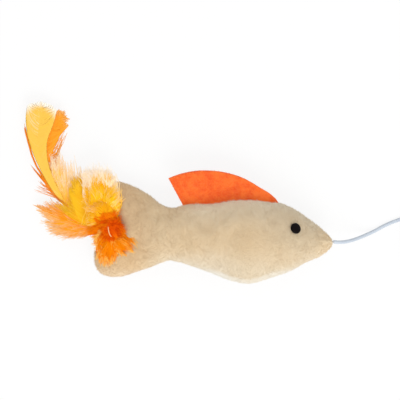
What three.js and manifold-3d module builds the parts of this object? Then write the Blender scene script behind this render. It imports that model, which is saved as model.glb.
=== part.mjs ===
// Plush fish cat toy on a thin elastic cord, lying on its flank as it is put down on a table.
// Two sewn plush panels hold a fibre filling. A felt fin is sewn into the back seam, bead eyes are
// held by washers, dyed feathers are tied in at the tail and a knotted cord leaves at the nose.
// Lengths are in millimetres. +X points to the nose, +Y to the back fin and +Z up from the table.

import * as THREE from 'three';
import { mergeVertices } from 'three/addons/utils/BufferGeometryUtils.js';
import Module from 'manifold-3d';

const wasm = await Module();
wasm.setup();

// Stuffed body
const bodyLength = 119.5;
const bodyDepth = 41.6;
const bodyThickness = 31;
const tailDepth = 47.3;
const tailThickness = 17.6;
const waistDepth = 26.5;
const waistThickness = 19;
const noseDepth = 6.6;
const noseThickness = 6.8;
const noseRounding = 1.6;
const noseHeight = 12;
const tailNotchDepth = 9.5;
const upperLobeSetback = 1.8;
const restFlatDepth = 0.5;
const rearEdge = -42.3;
const axisOffset = -24.8;

// Plush panels and their seam
const fabricThickness = 1.2;
const seamAllowance = 4;
const seamGap = 0.3;
const seamSpreadEase = 4;
const clearance = 0.3;
const fillingEase = 0.85;
const fillingEndEase = 3;
const cutOverrun = 2;

// Felt back fin
const finBaseLength = 48.1;
const finHeight = 17;
const finThickness = 1.2;
const finSeatDepth = 3.2;
const finRearOffset = 44.55;
const foldLineLift = 0.3;

// Eyes
const eyeDiameter = 5.5;
const eyeDome = 1.7;
const eyeRim = 0.5;
const eyePostDiameter = 1.8;
const eyePostLength = 4.4;
const eyeFromNose = 19.3;
const eyeAboveAxis = 6.5;
const washerDiameter = 6;
const washerThickness = 0.8;
const washerDrop = 0.75;

// Feather tie at the tail
const tieDiameter = 4.6;
const tieLength = 8;
const tieReach = 3;
const tieThreadDiameter = 0.6;
const tieAboveAxis = 7.8;

// Long feathers, stacked over each other and falling a little towards their tips
const quillDiameter = 0.8;
const quillTipDiameter = 0.4;
const vaneThickness = 0.4;
const vaneCamber = 0.25;
const barbDiameter = 0.5;
const barbTipDiameter = 0.24;
const plumeSpacing = 1.1;
const plumeLength = 78;
const plumeDrop = 3.4;

// Downy feathers, arched from the tie over the tail
const tuftLength = 25;
const tuftQuillDiameter = 0.8;
const tuftBarbDiameter = 0.7;
const tuftTipDiameter = 0.26;
const tuftSpacing = 1.2;
const tuftLift = 7.6;
const tuftArchReach = 6.5;
const tuftFallFrom = 11;
const tuftFallTo = 30;
const tuftFall = 4.5;

// Cord
const cordDiameter = 1.8;
const anchorDepth = 15;
const anchorTailLength = 5;
const endTailLength = 7;
const coilCentreAhead = 50.8;
const coilCentreAside = 0.3;
const coilMiddleRadius = 10.65;
const coilTurnGap = 0.46;
const coilLayers = 4;
const turnsPerLayer = 2;
const endRun = 17;

const twoPi = 2 * Math.PI;
const fabric = { plush: '#dfc9a4', fibre: '#f3f1ea', felt: '#f9662a', thread: '#e9dcc0' };
const dye = {
  yellow: '#f8c63c', orange: '#fb9a24', amber: '#f0761a', gold: '#f7b52a', peach: '#fbd79a', rust: '#dd5a05',
};

const mix = (a, b, t) => a + (b - a) * t;
const clamp01 = (t) => Math.min(1, Math.max(0, t));
const smooth = (a, b, t) => {
  const u = clamp01((t - a) / (b - a));
  return u * u * (3 - 2 * u);
};

// A smooth curve through points with rising first coordinates, as a function of that coordinate.
function profile(points) {
  const slope = points.map((p, i) => {
    const before = points[Math.max(0, i - 1)];
    const after = points[Math.min(points.length - 1, i + 1)];
    return (after[1] - before[1]) / (after[0] - before[0]);
  });
  return (at) => {
    const x = Math.min(points[points.length - 1][0], Math.max(points[0][0], at));
    const i = Math.max(0, Math.min(points.length - 2, points.findIndex((p) => p[0] > x) - 1));
    const k = x >= points[points.length - 1][0] ? points.length - 2 : i;
    const [x0, y0] = points[k];
    const [x1, y1] = points[k + 1];
    const span = x1 - x0;
    const t = (x - x0) / span;
    return (
      y0 * (1 + 2 * t) * (1 - t) ** 2 +
      slope[k] * span * t * (1 - t) ** 2 +
      y1 * t * t * (3 - 2 * t) +
      slope[k + 1] * span * t * t * (t - 1)
    );
  };
}

// Outline of the fish from its rear edge to its nose
// Each row is a share of the body's length and a share of the depth of its own stretch.
const upperTailShares = [[0, 0.36], [0.015, 0.44], [0.032, 0.558], [0.057, 0.62], [0.09, 0.64], [0.136, 0.617],
  [0.187, 0.558], [0.237, 0.48], [0.2745, 0.408]];
const upperWaistShares = [[0.32, 0.649], [0.3456, 0.649], [0.3874, 0.702]];
const upperBodyShares = [[0.492, 0.4615], [0.559, 0.488], [0.622, 0.5], [0.68, 0.494], [0.739, 0.4735],
  [0.781, 0.459], [0.839, 0.38], [0.8896, 0.29], [0.94, 0.186]];
const lowerTailShares = [[0, -0.21], [0.005, -0.262], [0.015, -0.318], [0.032, -0.35], [0.057, -0.371],
  [0.09, -0.376], [0.136, -0.353], [0.187, -0.313], [0.237, -0.271], [0.2745, -0.226]];
const lowerWaistShares = [[0.316, -0.351], [0.354, -0.3736], [0.396, -0.43]];
const lowerBodyShares = [[0.488, -0.37], [0.555, -0.4447], [0.605, -0.4856], [0.643, -0.5], [0.689, -0.481],
  [0.739, -0.43], [0.789, -0.384], [0.839, -0.326], [0.8896, -0.247], [0.94, -0.184]];
const noseTopShares = [[0.986, 0.44], [1, 0.44]];
const noseBottomShares = [[0.986, 0.62], [1, 0.62]];
const thicknessTailShares = [[0, 0.9], [0.06, 0.98], [0.12, 1], [0.2, 0.98]];
const thicknessWaistShares = [[0.33, 1]];
const thicknessBodyShares = [[0.47, 0.83], [0.55, 0.95], [0.63, 1], [0.71, 0.965], [0.79, 0.83], [0.86, 0.655],
  [0.93, 0.43]];
const waistBendShares = [0.165, 0.355];
const headBendShare = 0.785;
const crossExponent = 0.6;
const rearClosingShare = 0.11;
const noseClosingShare = 0.045;
const notchCentreShare = 0.1;
const notchWidthShare = 0.7;
const seamSpreadShares = [0.4, 0.72];
const insetLimitShare = 0.3;

const outlineOf = (shares, depth) => shares.map(([along, up]) => [along * bodyLength, up * depth]);
const upperEdge = profile([
  ...outlineOf(upperTailShares, tailDepth),
  ...outlineOf(upperWaistShares, waistDepth),
  ...outlineOf(upperBodyShares, bodyDepth),
  ...outlineOf(noseTopShares, noseDepth),
]);
const lowerEdge = profile([
  ...outlineOf(lowerTailShares, tailDepth),
  ...outlineOf(lowerWaistShares, waistDepth),
  ...outlineOf(lowerBodyShares, bodyDepth),
  ...outlineOf(noseBottomShares, -noseDepth),
]);
const halfThickness = profile([
  ...outlineOf(thicknessTailShares, tailThickness / 2),
  ...outlineOf(thicknessWaistShares, waistThickness / 2),
  ...outlineOf(thicknessBodyShares, bodyThickness / 2),
  [bodyLength, noseThickness / 2],
]);

// Height of the seam over the table: the toy rests on its flank and tail, and its waist and nose droop.
const bodySeamHeight = bodyThickness / 2 - restFlatDepth;
const tailSeamHeight = tailThickness / 2 - restFlatDepth;
function seamHeight(along) {
  const share = along / bodyLength;
  const waist = mix(tailSeamHeight, bodySeamHeight, smooth(waistBendShares[0], waistBendShares[1], share));
  return mix(waist, noseHeight, smooth(headBendShare, 1, share));
}

// Where the fin leaves the seam, the panels stand apart by its thickness.
const seamSpreadFrom = finRearOffset - seamSpreadEase;
const seamSpreadTo = finRearOffset + finBaseLength + seamSpreadEase;
function seamHalfGap(along, across) {
  const begun = smooth(seamSpreadFrom - seamSpreadEase, seamSpreadFrom, along);
  const ended = smooth(seamSpreadTo, seamSpreadTo + seamSpreadEase, along);
  const towardsBack = smooth(seamSpreadShares[0], seamSpreadShares[1], across);
  return mix(seamGap / 2, finThickness / 2 + clearance, begun * (1 - ended) * towardsBack);
}

// A point of the stuffed form: along and across run from 0 to 1 and from -1 to 1 over the panel.
function rearLimit(across) {
  const fromNotch = clamp01(1 - ((across - notchCentreShare) / notchWidthShare) ** 2);
  return tailNotchDepth * fromNotch ** 2 + upperLobeSetback * smooth(0, 1, across);
}
function noseLimit(across) {
  return bodyLength - noseRounding * across ** 2;
}
const roundedEnd = (t) => Math.sqrt(1 - (1 - clamp01(t)) ** 2);
function pillowHeight(share, across, half) {
  const ends = roundedEnd(share / rearClosingShare) * roundedEnd((1 - share) / noseClosingShare);
  return half * Math.max(0, 1 - across ** 2) ** crossExponent * ends;
}
function planPoint(share, across, inset, margin = 0, endMargin = 0) {
  const along = mix(rearLimit(across) + inset + endMargin, noseLimit(across) - inset - endMargin, share);
  const low = lowerEdge(along);
  const high = upperEdge(along);
  const kept = Math.min(inset, insetLimitShare * (high - low)) + margin;
  return new THREE.Vector3(along, mix(low + kept, high - kept, (across + 1) / 2), 0);
}
// Inner surfaces stay level over the flat that the toy rests on.
const overFlat = (height, inset) => (inset > 0 ? Math.max(height, inset) : height);
// The lift is how far the surface stands off the seam where it meets it.
function formPoint(share, across, side, inset = 0, lift = 0) {
  const p = planPoint(share, across, inset);
  const pillow = pillowHeight(share, across, halfThickness(p.x) - inset - lift);
  const height = seamHeight(p.x) + side * (lift + seamHalfGap(p.x, across) + pillow);
  return p.setZ(overFlat(height, inset));
}
function seamPoint(share, across, side, inset, lift = 0) {
  const p = planPoint(share, across, inset);
  return p.setZ(seamHeight(p.x) + side * (seamHalfGap(p.x, across) + lift));
}

// Stations along the body and across it, closer together towards the ends and the seam
const endCrowdingShare = 0.55;
function gridOf(stationCount, crossCount) {
  const stations = Array.from({ length: stationCount + 1 }, (_, i) => {
    const even = i / stationCount;
    return mix(even, (1 - Math.cos(Math.PI * even)) / 2, endCrowdingShare);
  });
  const crossings = Array.from({ length: crossCount + 1 }, (_, j) => Math.sin(Math.PI * (j / crossCount - 0.5)));
  const rim = [
    ...stations.slice(0, -1).map((s) => [s, -1]),
    ...crossings.slice(0, -1).map((v) => [1, v]),
    ...stations.slice(1).reverse().map((s) => [s, 1]),
    ...crossings.slice(1).reverse().map((v) => [0, v]),
  ];
  return { stations, crossings, rim };
}
const panelGrid = gridOf(26, 8);
const fillingGrid = gridOf(18, 6);

// Triangle lists
const pushTriangle = (list, a, b, c) => list.push(...a.toArray(), ...b.toArray(), ...c.toArray());
function pushQuad(list, a, b, c, d, flip) {
  if (flip) {
    pushTriangle(list, a, c, b);
    pushTriangle(list, a, d, c);
  } else {
    pushTriangle(list, a, b, c);
    pushTriangle(list, a, c, d);
  }
}
function geometryOf(list) {
  return new THREE.BufferGeometry().setAttribute('position', new THREE.Float32BufferAttribute(list, 3));
}
function pushSheet(list, { stations, crossings }, pointAt, flip) {
  for (let i = 0; i < stations.length - 1; i++) {
    for (let j = 0; j < crossings.length - 1; j++) {
      const [s0, s1] = [stations[i], stations[i + 1]];
      const [v0, v1] = [crossings[j], crossings[j + 1]];
      pushQuad(list, pointAt(s0, v0), pointAt(s1, v0), pointAt(s1, v1), pointAt(s0, v1), flip);
    }
  }
}
function pushBand(list, { rim }, pointA, pointB, flip) {
  rim.forEach(([s, v], i) => {
    const [sn, vn] = rim[(i + 1) % rim.length];
    pushQuad(list, pointA(s, v), pointA(sn, vn), pointB(sn, vn), pointB(s, v), flip);
  });
}

// Joining and cutting
const weldDistance = 1e-4;
function solidOf(geometry) {
  const loose = geometry.index ? geometry.toNonIndexed() : geometry;
  const bare = new THREE.BufferGeometry().setAttribute('position', loose.getAttribute('position'));
  const welded = mergeVertices(bare, weldDistance);
  return new wasm.Manifold(new wasm.Mesh({
    numProp: 3,
    vertProperties: welded.attributes.position.array,
    triVerts: new Uint32Array(welded.index.array),
  }));
}
function geometryFrom(solid) {
  const made = solid.getMesh();
  const geometry = new THREE.BufferGeometry();
  geometry.setAttribute('position', new THREE.BufferAttribute(new Float32Array(made.vertProperties), 3));
  geometry.setIndex(new THREE.BufferAttribute(new Uint32Array(made.triVerts), 1));
  geometry.computeVertexNormals();
  return geometry;
}
const joined = (solids) => solids.reduce((whole, next) => whole.add(next));
const cutBy = (solid, tools) => tools.reduce((whole, tool) => whole.subtract(tool), solid);

// A round bar between two points, for holes and channels.
function barSolid(from, to, radius, sides = 16) {
  const bar = new THREE.CylinderGeometry(radius, radius, from.distanceTo(to), sides);
  const direction = to.clone().sub(from).normalize();
  bar.applyQuaternion(new THREE.Quaternion().setFromUnitVectors(new THREE.Vector3(0, 1, 0), direction));
  bar.translate(...from.clone().add(to).multiplyScalar(0.5).toArray());
  return solidOf(bar);
}

// All that lies to one side of a level plane across an axis.
function halfSpace(axis, at, side) {
  const size = 4 * bodyLength;
  const centre = new THREE.Vector3();
  centre[axis] = at + (side * size) / 2;
  const block = new THREE.BoxGeometry(size, size, size);
  block.translate(...centre.toArray());
  return solidOf(block);
}

// A closed tube along a curve that may taper, with rings square to the curve.
function taperedTube(curve, radiusAt, steps, sides) {
  const frames = curve.computeFrenetFrames(steps, false);
  const centres = curve.getSpacedPoints(steps);
  const rings = centres.map((centre, i) => Array.from({ length: sides }, (_, k) => {
    const angle = (twoPi * k) / sides;
    const radius = radiusAt(i / steps);
    return centre.clone()
      .addScaledVector(frames.normals[i], radius * Math.cos(angle))
      .addScaledVector(frames.binormals[i], radius * Math.sin(angle));
  }));
  const list = [];
  for (let i = 0; i < steps; i++) {
    for (let k = 0; k < sides; k++) {
      const n = (k + 1) % sides;
      pushQuad(list, rings[i][k], rings[i][n], rings[i + 1][n], rings[i + 1][k], false);
    }
  }
  for (let k = 0; k < sides; k++) {
    const n = (k + 1) % sides;
    pushTriangle(list, centres[0], rings[0][n], rings[0][k]);
    pushTriangle(list, centres[steps], rings[steps][k], rings[steps][n]);
  }
  return geometryOf(list);
}
const curveThrough = (points) => new THREE.CatmullRomCurve3(points, false, 'centripetal');

// The assembly: fish pieces are placed from the rear edge, on the line from tail tie to nose.
const toy = new THREE.Group();
const fish = new THREE.Group();
fish.position.set(rearEdge, axisOffset, 0);
toy.add(fish);

const finish = {
  plush: new THREE.MeshStandardMaterial({ color: fabric.plush, roughness: 0.95, metalness: 0 }),
  fibre: new THREE.MeshStandardMaterial({ color: fabric.fibre, roughness: 1, metalness: 0 }),
  felt: new THREE.MeshStandardMaterial({ color: fabric.felt, roughness: 0.9, metalness: 0 }),
  thread: new THREE.MeshStandardMaterial({ color: fabric.thread, roughness: 0.8, metalness: 0 }),
  eye: new THREE.MeshStandardMaterial({ color: '#0d090b', roughness: 0.35, metalness: 0 }),
  washer: new THREE.MeshStandardMaterial({ color: '#e8e8e4', roughness: 0.5, metalness: 0 }),
  cord: new THREE.MeshStandardMaterial({ color: '#ccd6e4', roughness: 0.6, metalness: 0 }),
};
Object.entries(dye).forEach(([name, color]) => {
  finish[name] = new THREE.MeshStandardMaterial({ color, roughness: 0.7, metalness: 0 });
});
function place(parent, name, geometry, material) {
  const mesh = new THREE.Mesh(geometry, material);
  mesh.name = name;
  parent.add(mesh);
  return mesh;
}

// Eyes: a domed bead with a post through the panel and a washer behind it
const eyeAlong = bodyLength - eyeFromNose;
function flankPoint(along, up, side, inset = 0, lift = 0) {
  const kept = Math.min(inset, insetLimitShare * (upperEdge(along) - lowerEdge(along)));
  const low = lowerEdge(along) + kept;
  const high = upperEdge(along) - kept;
  const across = (2 * up - low - high) / (high - low);
  const share = (along - rearLimit(across) - inset) / (noseLimit(across) - rearLimit(across) - 2 * inset);
  const pillow = pillowHeight(share, across, halfThickness(along) - inset - lift);
  const height = seamHeight(along) + side * (lift + seamHalfGap(along, across) + pillow);
  return new THREE.Vector3(along, up, overFlat(height, inset));
}
function eyeFrame(side) {
  const step = eyeDiameter / 4;
  const centre = flankPoint(eyeAlong, eyeAboveAxis, side);
  const near = (ahead, above) => flankPoint(eyeAlong + ahead, eyeAboveAxis + above, side);
  const forwards = near(step, 0).sub(near(-step, 0));
  const upwards = near(0, step).sub(near(0, -step));
  const outward = forwards.cross(upwards).multiplyScalar(side).normalize();
  return { centre, outward };
}
function revolved(points, segments, frame, lift) {
  const geometry = new THREE.LatheGeometry(points.map(([r, h]) => new THREE.Vector2(r, h)), segments);
  geometry.translate(0, lift, 0);
  geometry.applyQuaternion(new THREE.Quaternion().setFromUnitVectors(new THREE.Vector3(0, 1, 0), frame.outward));
  geometry.translate(...frame.centre.toArray());
  return geometry;
}
const domeSteps = 3;
function eyeGeometry(frame) {
  const dome = Array.from({ length: domeSteps }, (_, i) => {
    const angle = (Math.PI / 2) * ((i + 1) / domeSteps);
    return [(eyeDiameter / 2) * Math.cos(angle), eyeRim + (eyeDome - eyeRim) * Math.sin(angle)];
  });
  dome[domeSteps - 1][0] = 0;
  const outline = [
    [0, -eyePostLength],
    [eyePostDiameter / 2, -eyePostLength],
    [eyePostDiameter / 2, 0],
    [eyeDiameter / 2, 0],
    [eyeDiameter / 2, eyeRim],
    ...dome,
  ];
  return revolved(outline, 14, frame, clearance);
}
function washerGeometry(frame) {
  const inner = eyePostDiameter / 2 + clearance;
  const top = -(fabricThickness + washerDrop);
  const ring = [
    [inner, top - washerThickness],
    [washerDiameter / 2, top - washerThickness],
    [washerDiameter / 2, top],
    [inner, top],
    [inner, top - washerThickness],
  ];
  return revolved(ring, 12, frame, 0);
}
const eyeFrames = { near: eyeFrame(1), far: eyeFrame(-1) };
const alongNormal = (frame, distance) => frame.centre.clone().addScaledVector(frame.outward, distance);
function eyeHole(frame) {
  const foot = alongNormal(frame, -eyePostLength - cutOverrun);
  return barSolid(foot, alongNormal(frame, cutOverrun), eyePostDiameter / 2 + clearance, 12);
}
function eyePocket(frame) {
  const foot = alongNormal(frame, -eyePostLength - clearance);
  return barSolid(foot, alongNormal(frame, cutOverrun), washerDiameter / 2 + clearance);
}

// Channels for the cord at the nose and for the feather tie at the tail
const exitPoint = new THREE.Vector3(bodyLength, 0, noseHeight);
const anchorAlong = bodyLength - anchorDepth;
const anchorPoint = new THREE.Vector3(anchorAlong, 0, seamHeight(anchorAlong));
const exitDirection = exitPoint.clone().sub(anchorPoint).normalize();
const beyondExit = exitPoint.clone().addScaledVector(exitDirection, cutOverrun);
const cordChannel = barSolid(anchorPoint, beyondExit, cordDiameter / 2 + clearance);
const notchAlong = rearLimit(notchCentreShare);
const tieRear = new THREE.Vector3(notchAlong - tieReach, tieAboveAxis, tailSeamHeight);
const tieFront = tieRear.clone().setX(tieRear.x + tieLength);
const behindTie = tieRear.clone().setX(tieRear.x - cutOverrun);
const aheadOfTie = tieFront.clone().setX(tieFront.x + clearance);
const tieChannel = barSolid(behindTie, aheadOfTie, tieDiameter / 2 + clearance);

// Plush panels: a domed wall with its seam allowance turned inwards
function panelSolid(side) {
  const list = [];
  const outer = (s, v) => formPoint(s, v, side);
  const inner = (s, v) => formPoint(s, v, side, fabricThickness, fabricThickness);
  const allowanceEdge = (s, v) => seamPoint(s, v, side, seamAllowance);
  const allowanceTop = (s, v) => seamPoint(s, v, side, seamAllowance, fabricThickness);
  pushSheet(list, panelGrid, outer, side < 0);
  pushSheet(list, panelGrid, inner, side > 0);
  pushBand(list, panelGrid, outer, allowanceEdge, side > 0);
  pushBand(list, panelGrid, allowanceEdge, allowanceTop, side > 0);
  pushBand(list, panelGrid, allowanceTop, inner, side > 0);
  return cutBy(solidOf(geometryOf(list)).intersect(halfSpace('z', 0, 1)), [cordChannel, tieChannel]);
}
place(fish, 'near_plush_panel', geometryFrom(panelSolid(1).subtract(eyeHole(eyeFrames.near))), finish.plush);
place(fish, 'far_plush_panel', geometryFrom(panelSolid(-1).subtract(eyeHole(eyeFrames.far))), finish.plush);
place(fish, 'near_eye_bead', eyeGeometry(eyeFrames.near), finish.eye);
place(fish, 'far_eye_bead', eyeGeometry(eyeFrames.far), finish.eye);
place(fish, 'near_eye_washer', washerGeometry(eyeFrames.near), finish.washer);
place(fish, 'far_eye_washer', washerGeometry(eyeFrames.far), finish.washer);

// Overhand knot: a trefoil opened at its lowest lobe, whose two ends cross there and leave opposite ways
const knotStretch = 0.72 * cordDiameter;
const knotRise = 1.1 * cordDiameter;
const knotRadius = 3 * knotStretch + cordDiameter / 2;
const knotHalfHeight = knotRise + cordDiameter / 2;
const knotOpening = 0.42;
const knotPointCount = 17;
const standingShares = [[0.3, 0.9, -1], [2.4, 1, -0.9], [4.6, 1, -0.3]];
const knotStandOff = 3 * knotStretch;
function trefoilPoint(t) {
  return new THREE.Vector3(
    knotStretch * (Math.sin(t) + 2 * Math.sin(2 * t)),
    knotStretch * (Math.cos(t) - 2 * Math.cos(2 * t)),
    -knotRise * Math.sin(3 * t));
}
// The knot's own frame has its standing end leaving towards +X and its loose end towards -X.
function knotCurve(looseLength, standingEnd) {
  const loop = Array.from({ length: knotPointCount }, (_, i) => (
    trefoilPoint(mix(Math.PI + knotOpening, 3 * Math.PI - knotOpening, i / (knotPointCount - 1)))));
  const loose = [1, 0.5].map((share) => new THREE.Vector3(
    loop[0].x - looseLength * share, loop[0].y - knotStretch * share / 3, loop[0].z));
  const standing = standingShares.map(([x, y, z]) => (
    new THREE.Vector3(x * knotStretch, -y * knotStandOff, z * knotRise)));
  return curveThrough([...loose, ...loop, ...standing, ...standingEnd]);
}

// Filling: the space inside the panels, grooved where the seam allowance and the other pieces lie
const knotCentre = anchorPoint.clone().setY(knotStandOff);
function fillingSolid() {
  const list = [];
  const surface = (side) => (s, v) => {
    const p = planPoint(s, v, seamAllowance, fillingEase, fillingEndEase);
    const wall = flankPoint(p.x, p.y, side, fabricThickness, fabricThickness);
    return wall.setZ(wall.z - side * fillingEase);
  };
  pushSheet(list, fillingGrid, surface(1), false);
  pushSheet(list, fillingGrid, surface(-1), true);
  pushBand(list, fillingGrid, surface(1), surface(-1), true);
  const pocketFoot = knotCentre.clone().setZ(knotCentre.z - knotHalfHeight - clearance);
  const pocketTop = knotCentre.clone().setZ(knotCentre.z + knotHalfHeight + clearance);
  const knotPocket = barSolid(pocketFoot, pocketTop, knotRadius + clearance, 14);
  const looseFrom = anchorPoint.clone().setX(anchorPoint.x - anchorTailLength - 2 * knotStretch);
  const looseTo = anchorPoint.clone().setX(anchorPoint.x + knotRadius + 2 * knotStretch);
  const looseChannel = barSolid(looseFrom, looseTo, knotHalfHeight + clearance, 10);
  return cutBy(solidOf(geometryOf(list)), [
    eyePocket(eyeFrames.near), eyePocket(eyeFrames.far), knotPocket, looseChannel, cordChannel, tieChannel]);
}
place(fish, 'fibre_filling', geometryFrom(fillingSolid()), finish.fibre);

// Back fin: one felt sheet that folds along a straight line just over the curved back seam
// Rows are shares of the base's length and of the fin's height over the line from end to end of its base.
const finTopShares = [[-0.152, 0.805], [-0.04, 0.915], [0.1, 0.994], [0.2, 1.01], [0.398, 0.962], [0.617, 0.773],
  [0.816, 0.441], [0.905, 0.279], [0.966, 0.118], [1, -0.035]];
const finBase = [upperEdge(finRearOffset), upperEdge(finRearOffset + finBaseLength)];
const backSamples = Array.from({ length: 9 }, (_, i) => finRearOffset + (finBaseLength * i) / 8);
const foldLine = Math.max(...backSamples.map(upperEdge)) + foldLineLift + finThickness / 2;
function finSheet() {
  const top = finTopShares.map(([along, up]) => (
    new THREE.Vector2(finRearOffset + along * finBaseLength, mix(...finBase, along) + up * finHeight)));
  const front = top[top.length - 1];
  const shape = new THREE.Shape();
  shape.moveTo(finRearOffset, finBase[0] - finSeatDepth);
  shape.lineTo(finRearOffset, finBase[0]);
  shape.lineTo(top[0].x, top[0].y);
  shape.splineThru(top.slice(1));
  shape.lineTo(front.x, upperEdge(front.x) - finSeatDepth);
  backSamples.slice(1, -1).reverse().forEach((along) => shape.lineTo(along, upperEdge(along) - finSeatDepth));
  const sheet = new THREE.ExtrudeGeometry(shape, { depth: finThickness, bevelEnabled: false, curveSegments: 3 });
  sheet.translate(0, 0, bodySeamHeight - finThickness / 2);
  return solidOf(sheet);
}
const sheet = finSheet();
const finFlat = sheet.intersect(halfSpace('y', foldLine, 1));
const baseSlice = finFlat.intersect(halfSpace('y', foldLine + finThickness / 4, -1)).boundingBox();
const foldBarFrom = new THREE.Vector3(baseSlice.min[0] + finThickness / 2, foldLine, bodySeamHeight);
const foldBarTo = new THREE.Vector3(baseSlice.max[0] - finThickness / 2, foldLine, bodySeamHeight);
const foldBar = barSolid(foldBarFrom, foldBarTo, finThickness / 2, 12);
const sewnStrip = sheet.intersect(halfSpace('y', foldLine - finThickness / 2 - clearance, -1));
place(fish, 'back_fin', geometryFrom(finFlat.add(foldBar)), finish.felt);
place(fish, 'fin_seam_strip', geometryFrom(sewnStrip), finish.felt);

// Thread tie: turns of thread round the quills, glued shut at its inner end
function tieGeometry() {
  const turns = Math.round(tieLength / tieThreadDiameter / 2);
  const pitch = tieLength / turns;
  const outline = [[0, 0]];
  for (let i = 0; i < turns; i++) {
    outline.push([tieDiameter / 2 - tieThreadDiameter / 2, i * pitch]);
    outline.push([tieDiameter / 2, (i + 0.5) * pitch]);
  }
  outline.push([tieDiameter / 2 - tieThreadDiameter / 2, tieLength]);
  outline.push([0, tieLength]);
  return revolved(outline, 12, { centre: tieRear, outward: new THREE.Vector3(1, 0, 0) }, 0);
}
place(fish, 'feather_tie', tieGeometry(), finish.thread);

// Long feathers: a bare quill that runs on as the ridge of a thin vane, and loose barbs near the root
// Reach, rise, half width and the length of barbs are shares of the plume length. Path rows are shares
// of the feather's reach behind the tie and of its rise beside it.
const plumes = [
  {
    name: 'gold_plume', colour: 'gold', level: 2, reach: 0.1955, rise: 0.3077, halfWidth: 0.0615,
    vaneFromShare: 0.3,
    pathShares: [[0, 0], [0.295, -0.04], [0.59, 0.04], [0.754, 0.29], [0.852, 0.54], [0.934, 0.79], [1, 1]],
    widthShares: [[0.3, 0.1], [0.45, 0.5], [0.6, 0.9], [0.75, 1], [0.87, 0.8], [1, 0.3]],
    barbs: { count: 5, fromShare: 0.24, toShare: 0.4, side: -1, length: 0.109, turn: 0.5 },
  },
  {
    name: 'yellow_plume', colour: 'yellow', level: 1, reach: 0.4391, rise: 0.8013, halfWidth: 0.0962,
    vaneFromShare: 0.36,
    pathShares: [[0, 0], [0.204, 0.024], [0.394, 0.08], [0.555, 0.156], [0.686, 0.248], [0.781, 0.328],
      [0.869, 0.424], [0.942, 0.528], [0.99, 0.64], [1, 0.736], [0.978, 0.848], [0.949, 0.944], [0.934, 1]],
    widthShares: [[0.36, 0.16], [0.45, 0.28], [0.53, 0.31], [0.62, 0.38], [0.71, 0.47], [0.79, 0.62], [0.88, 0.92],
      [0.93, 1], [0.97, 0.8], [1, 0.3]],
    barbs: { count: 8, fromShare: 0.13, toShare: 0.4, side: -1, length: 0.2564, turn: 0.62 },
  },
  {
    name: 'orange_plume', colour: 'orange', level: 0, reach: 0.3814, rise: 0.7372, halfWidth: 0.0718,
    vaneFromShare: 0.4,
    pathShares: [[0, 0], [0.218, 0.03], [0.42, 0.087], [0.605, 0.174], [0.756, 0.274], [0.874, 0.378],
      [0.958, 0.487], [1, 0.591], [0.995, 0.696], [0.941, 0.8], [0.849, 0.896], [0.748, 0.965], [0.689, 1]],
    widthShares: [[0.4, 0.18], [0.55, 0.32], [0.66, 0.52], [0.76, 0.8], [0.86, 1], [0.93, 0.98], [0.97, 0.8],
      [1, 0.45]],
    barbs: { count: 5, fromShare: 0.2, toShare: 0.42, side: -1, length: 0.1923, turn: 0.75 },
  },
  {
    name: 'amber_plume', colour: 'amber', level: -1, reach: 0.5256, rise: 0.6603, halfWidth: 0.0154,
    vaneFromShare: 0.25,
    pathShares: [[0, 0], [0.122, 0], [0.232, 0.03], [0.348, 0.117], [0.463, 0.204], [0.567, 0.286], [0.671, 0.379],
      [0.774, 0.524], [0.86, 0.67], [0.915, 0.782], [0.963, 0.893], [1, 1]],
    widthShares: [[0.25, 0.4], [0.4, 0.9], [0.5, 1], [0.7, 0.75], [0.9, 0.5], [1, 0.2]],
    barbs: { count: 7, fromShare: 0.3, toShare: 0.6, side: 1, length: 0.2051, turn: 0.34 },
  },
  {
    name: 'orange_spray', colour: 'orange', level: -2, reach: 0.4103, rise: 0.0769, halfWidth: 0,
    pathShares: [[0, 0], [0.172, -0.25], [0.328, 0], [0.563, 0.42], [0.797, 0.75], [1, 1]],
    barbs: { count: 11, fromShare: 0.26, toShare: 0.72, side: 0, length: 0.2308, turn: 0.5 },
  },
];
const plumeRoot = new THREE.Vector3(tieRear.x - clearance - quillDiameter / 2, tieRear.y, tieRear.z);
const plumeSlope = plumeDrop / plumeLength;
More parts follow.
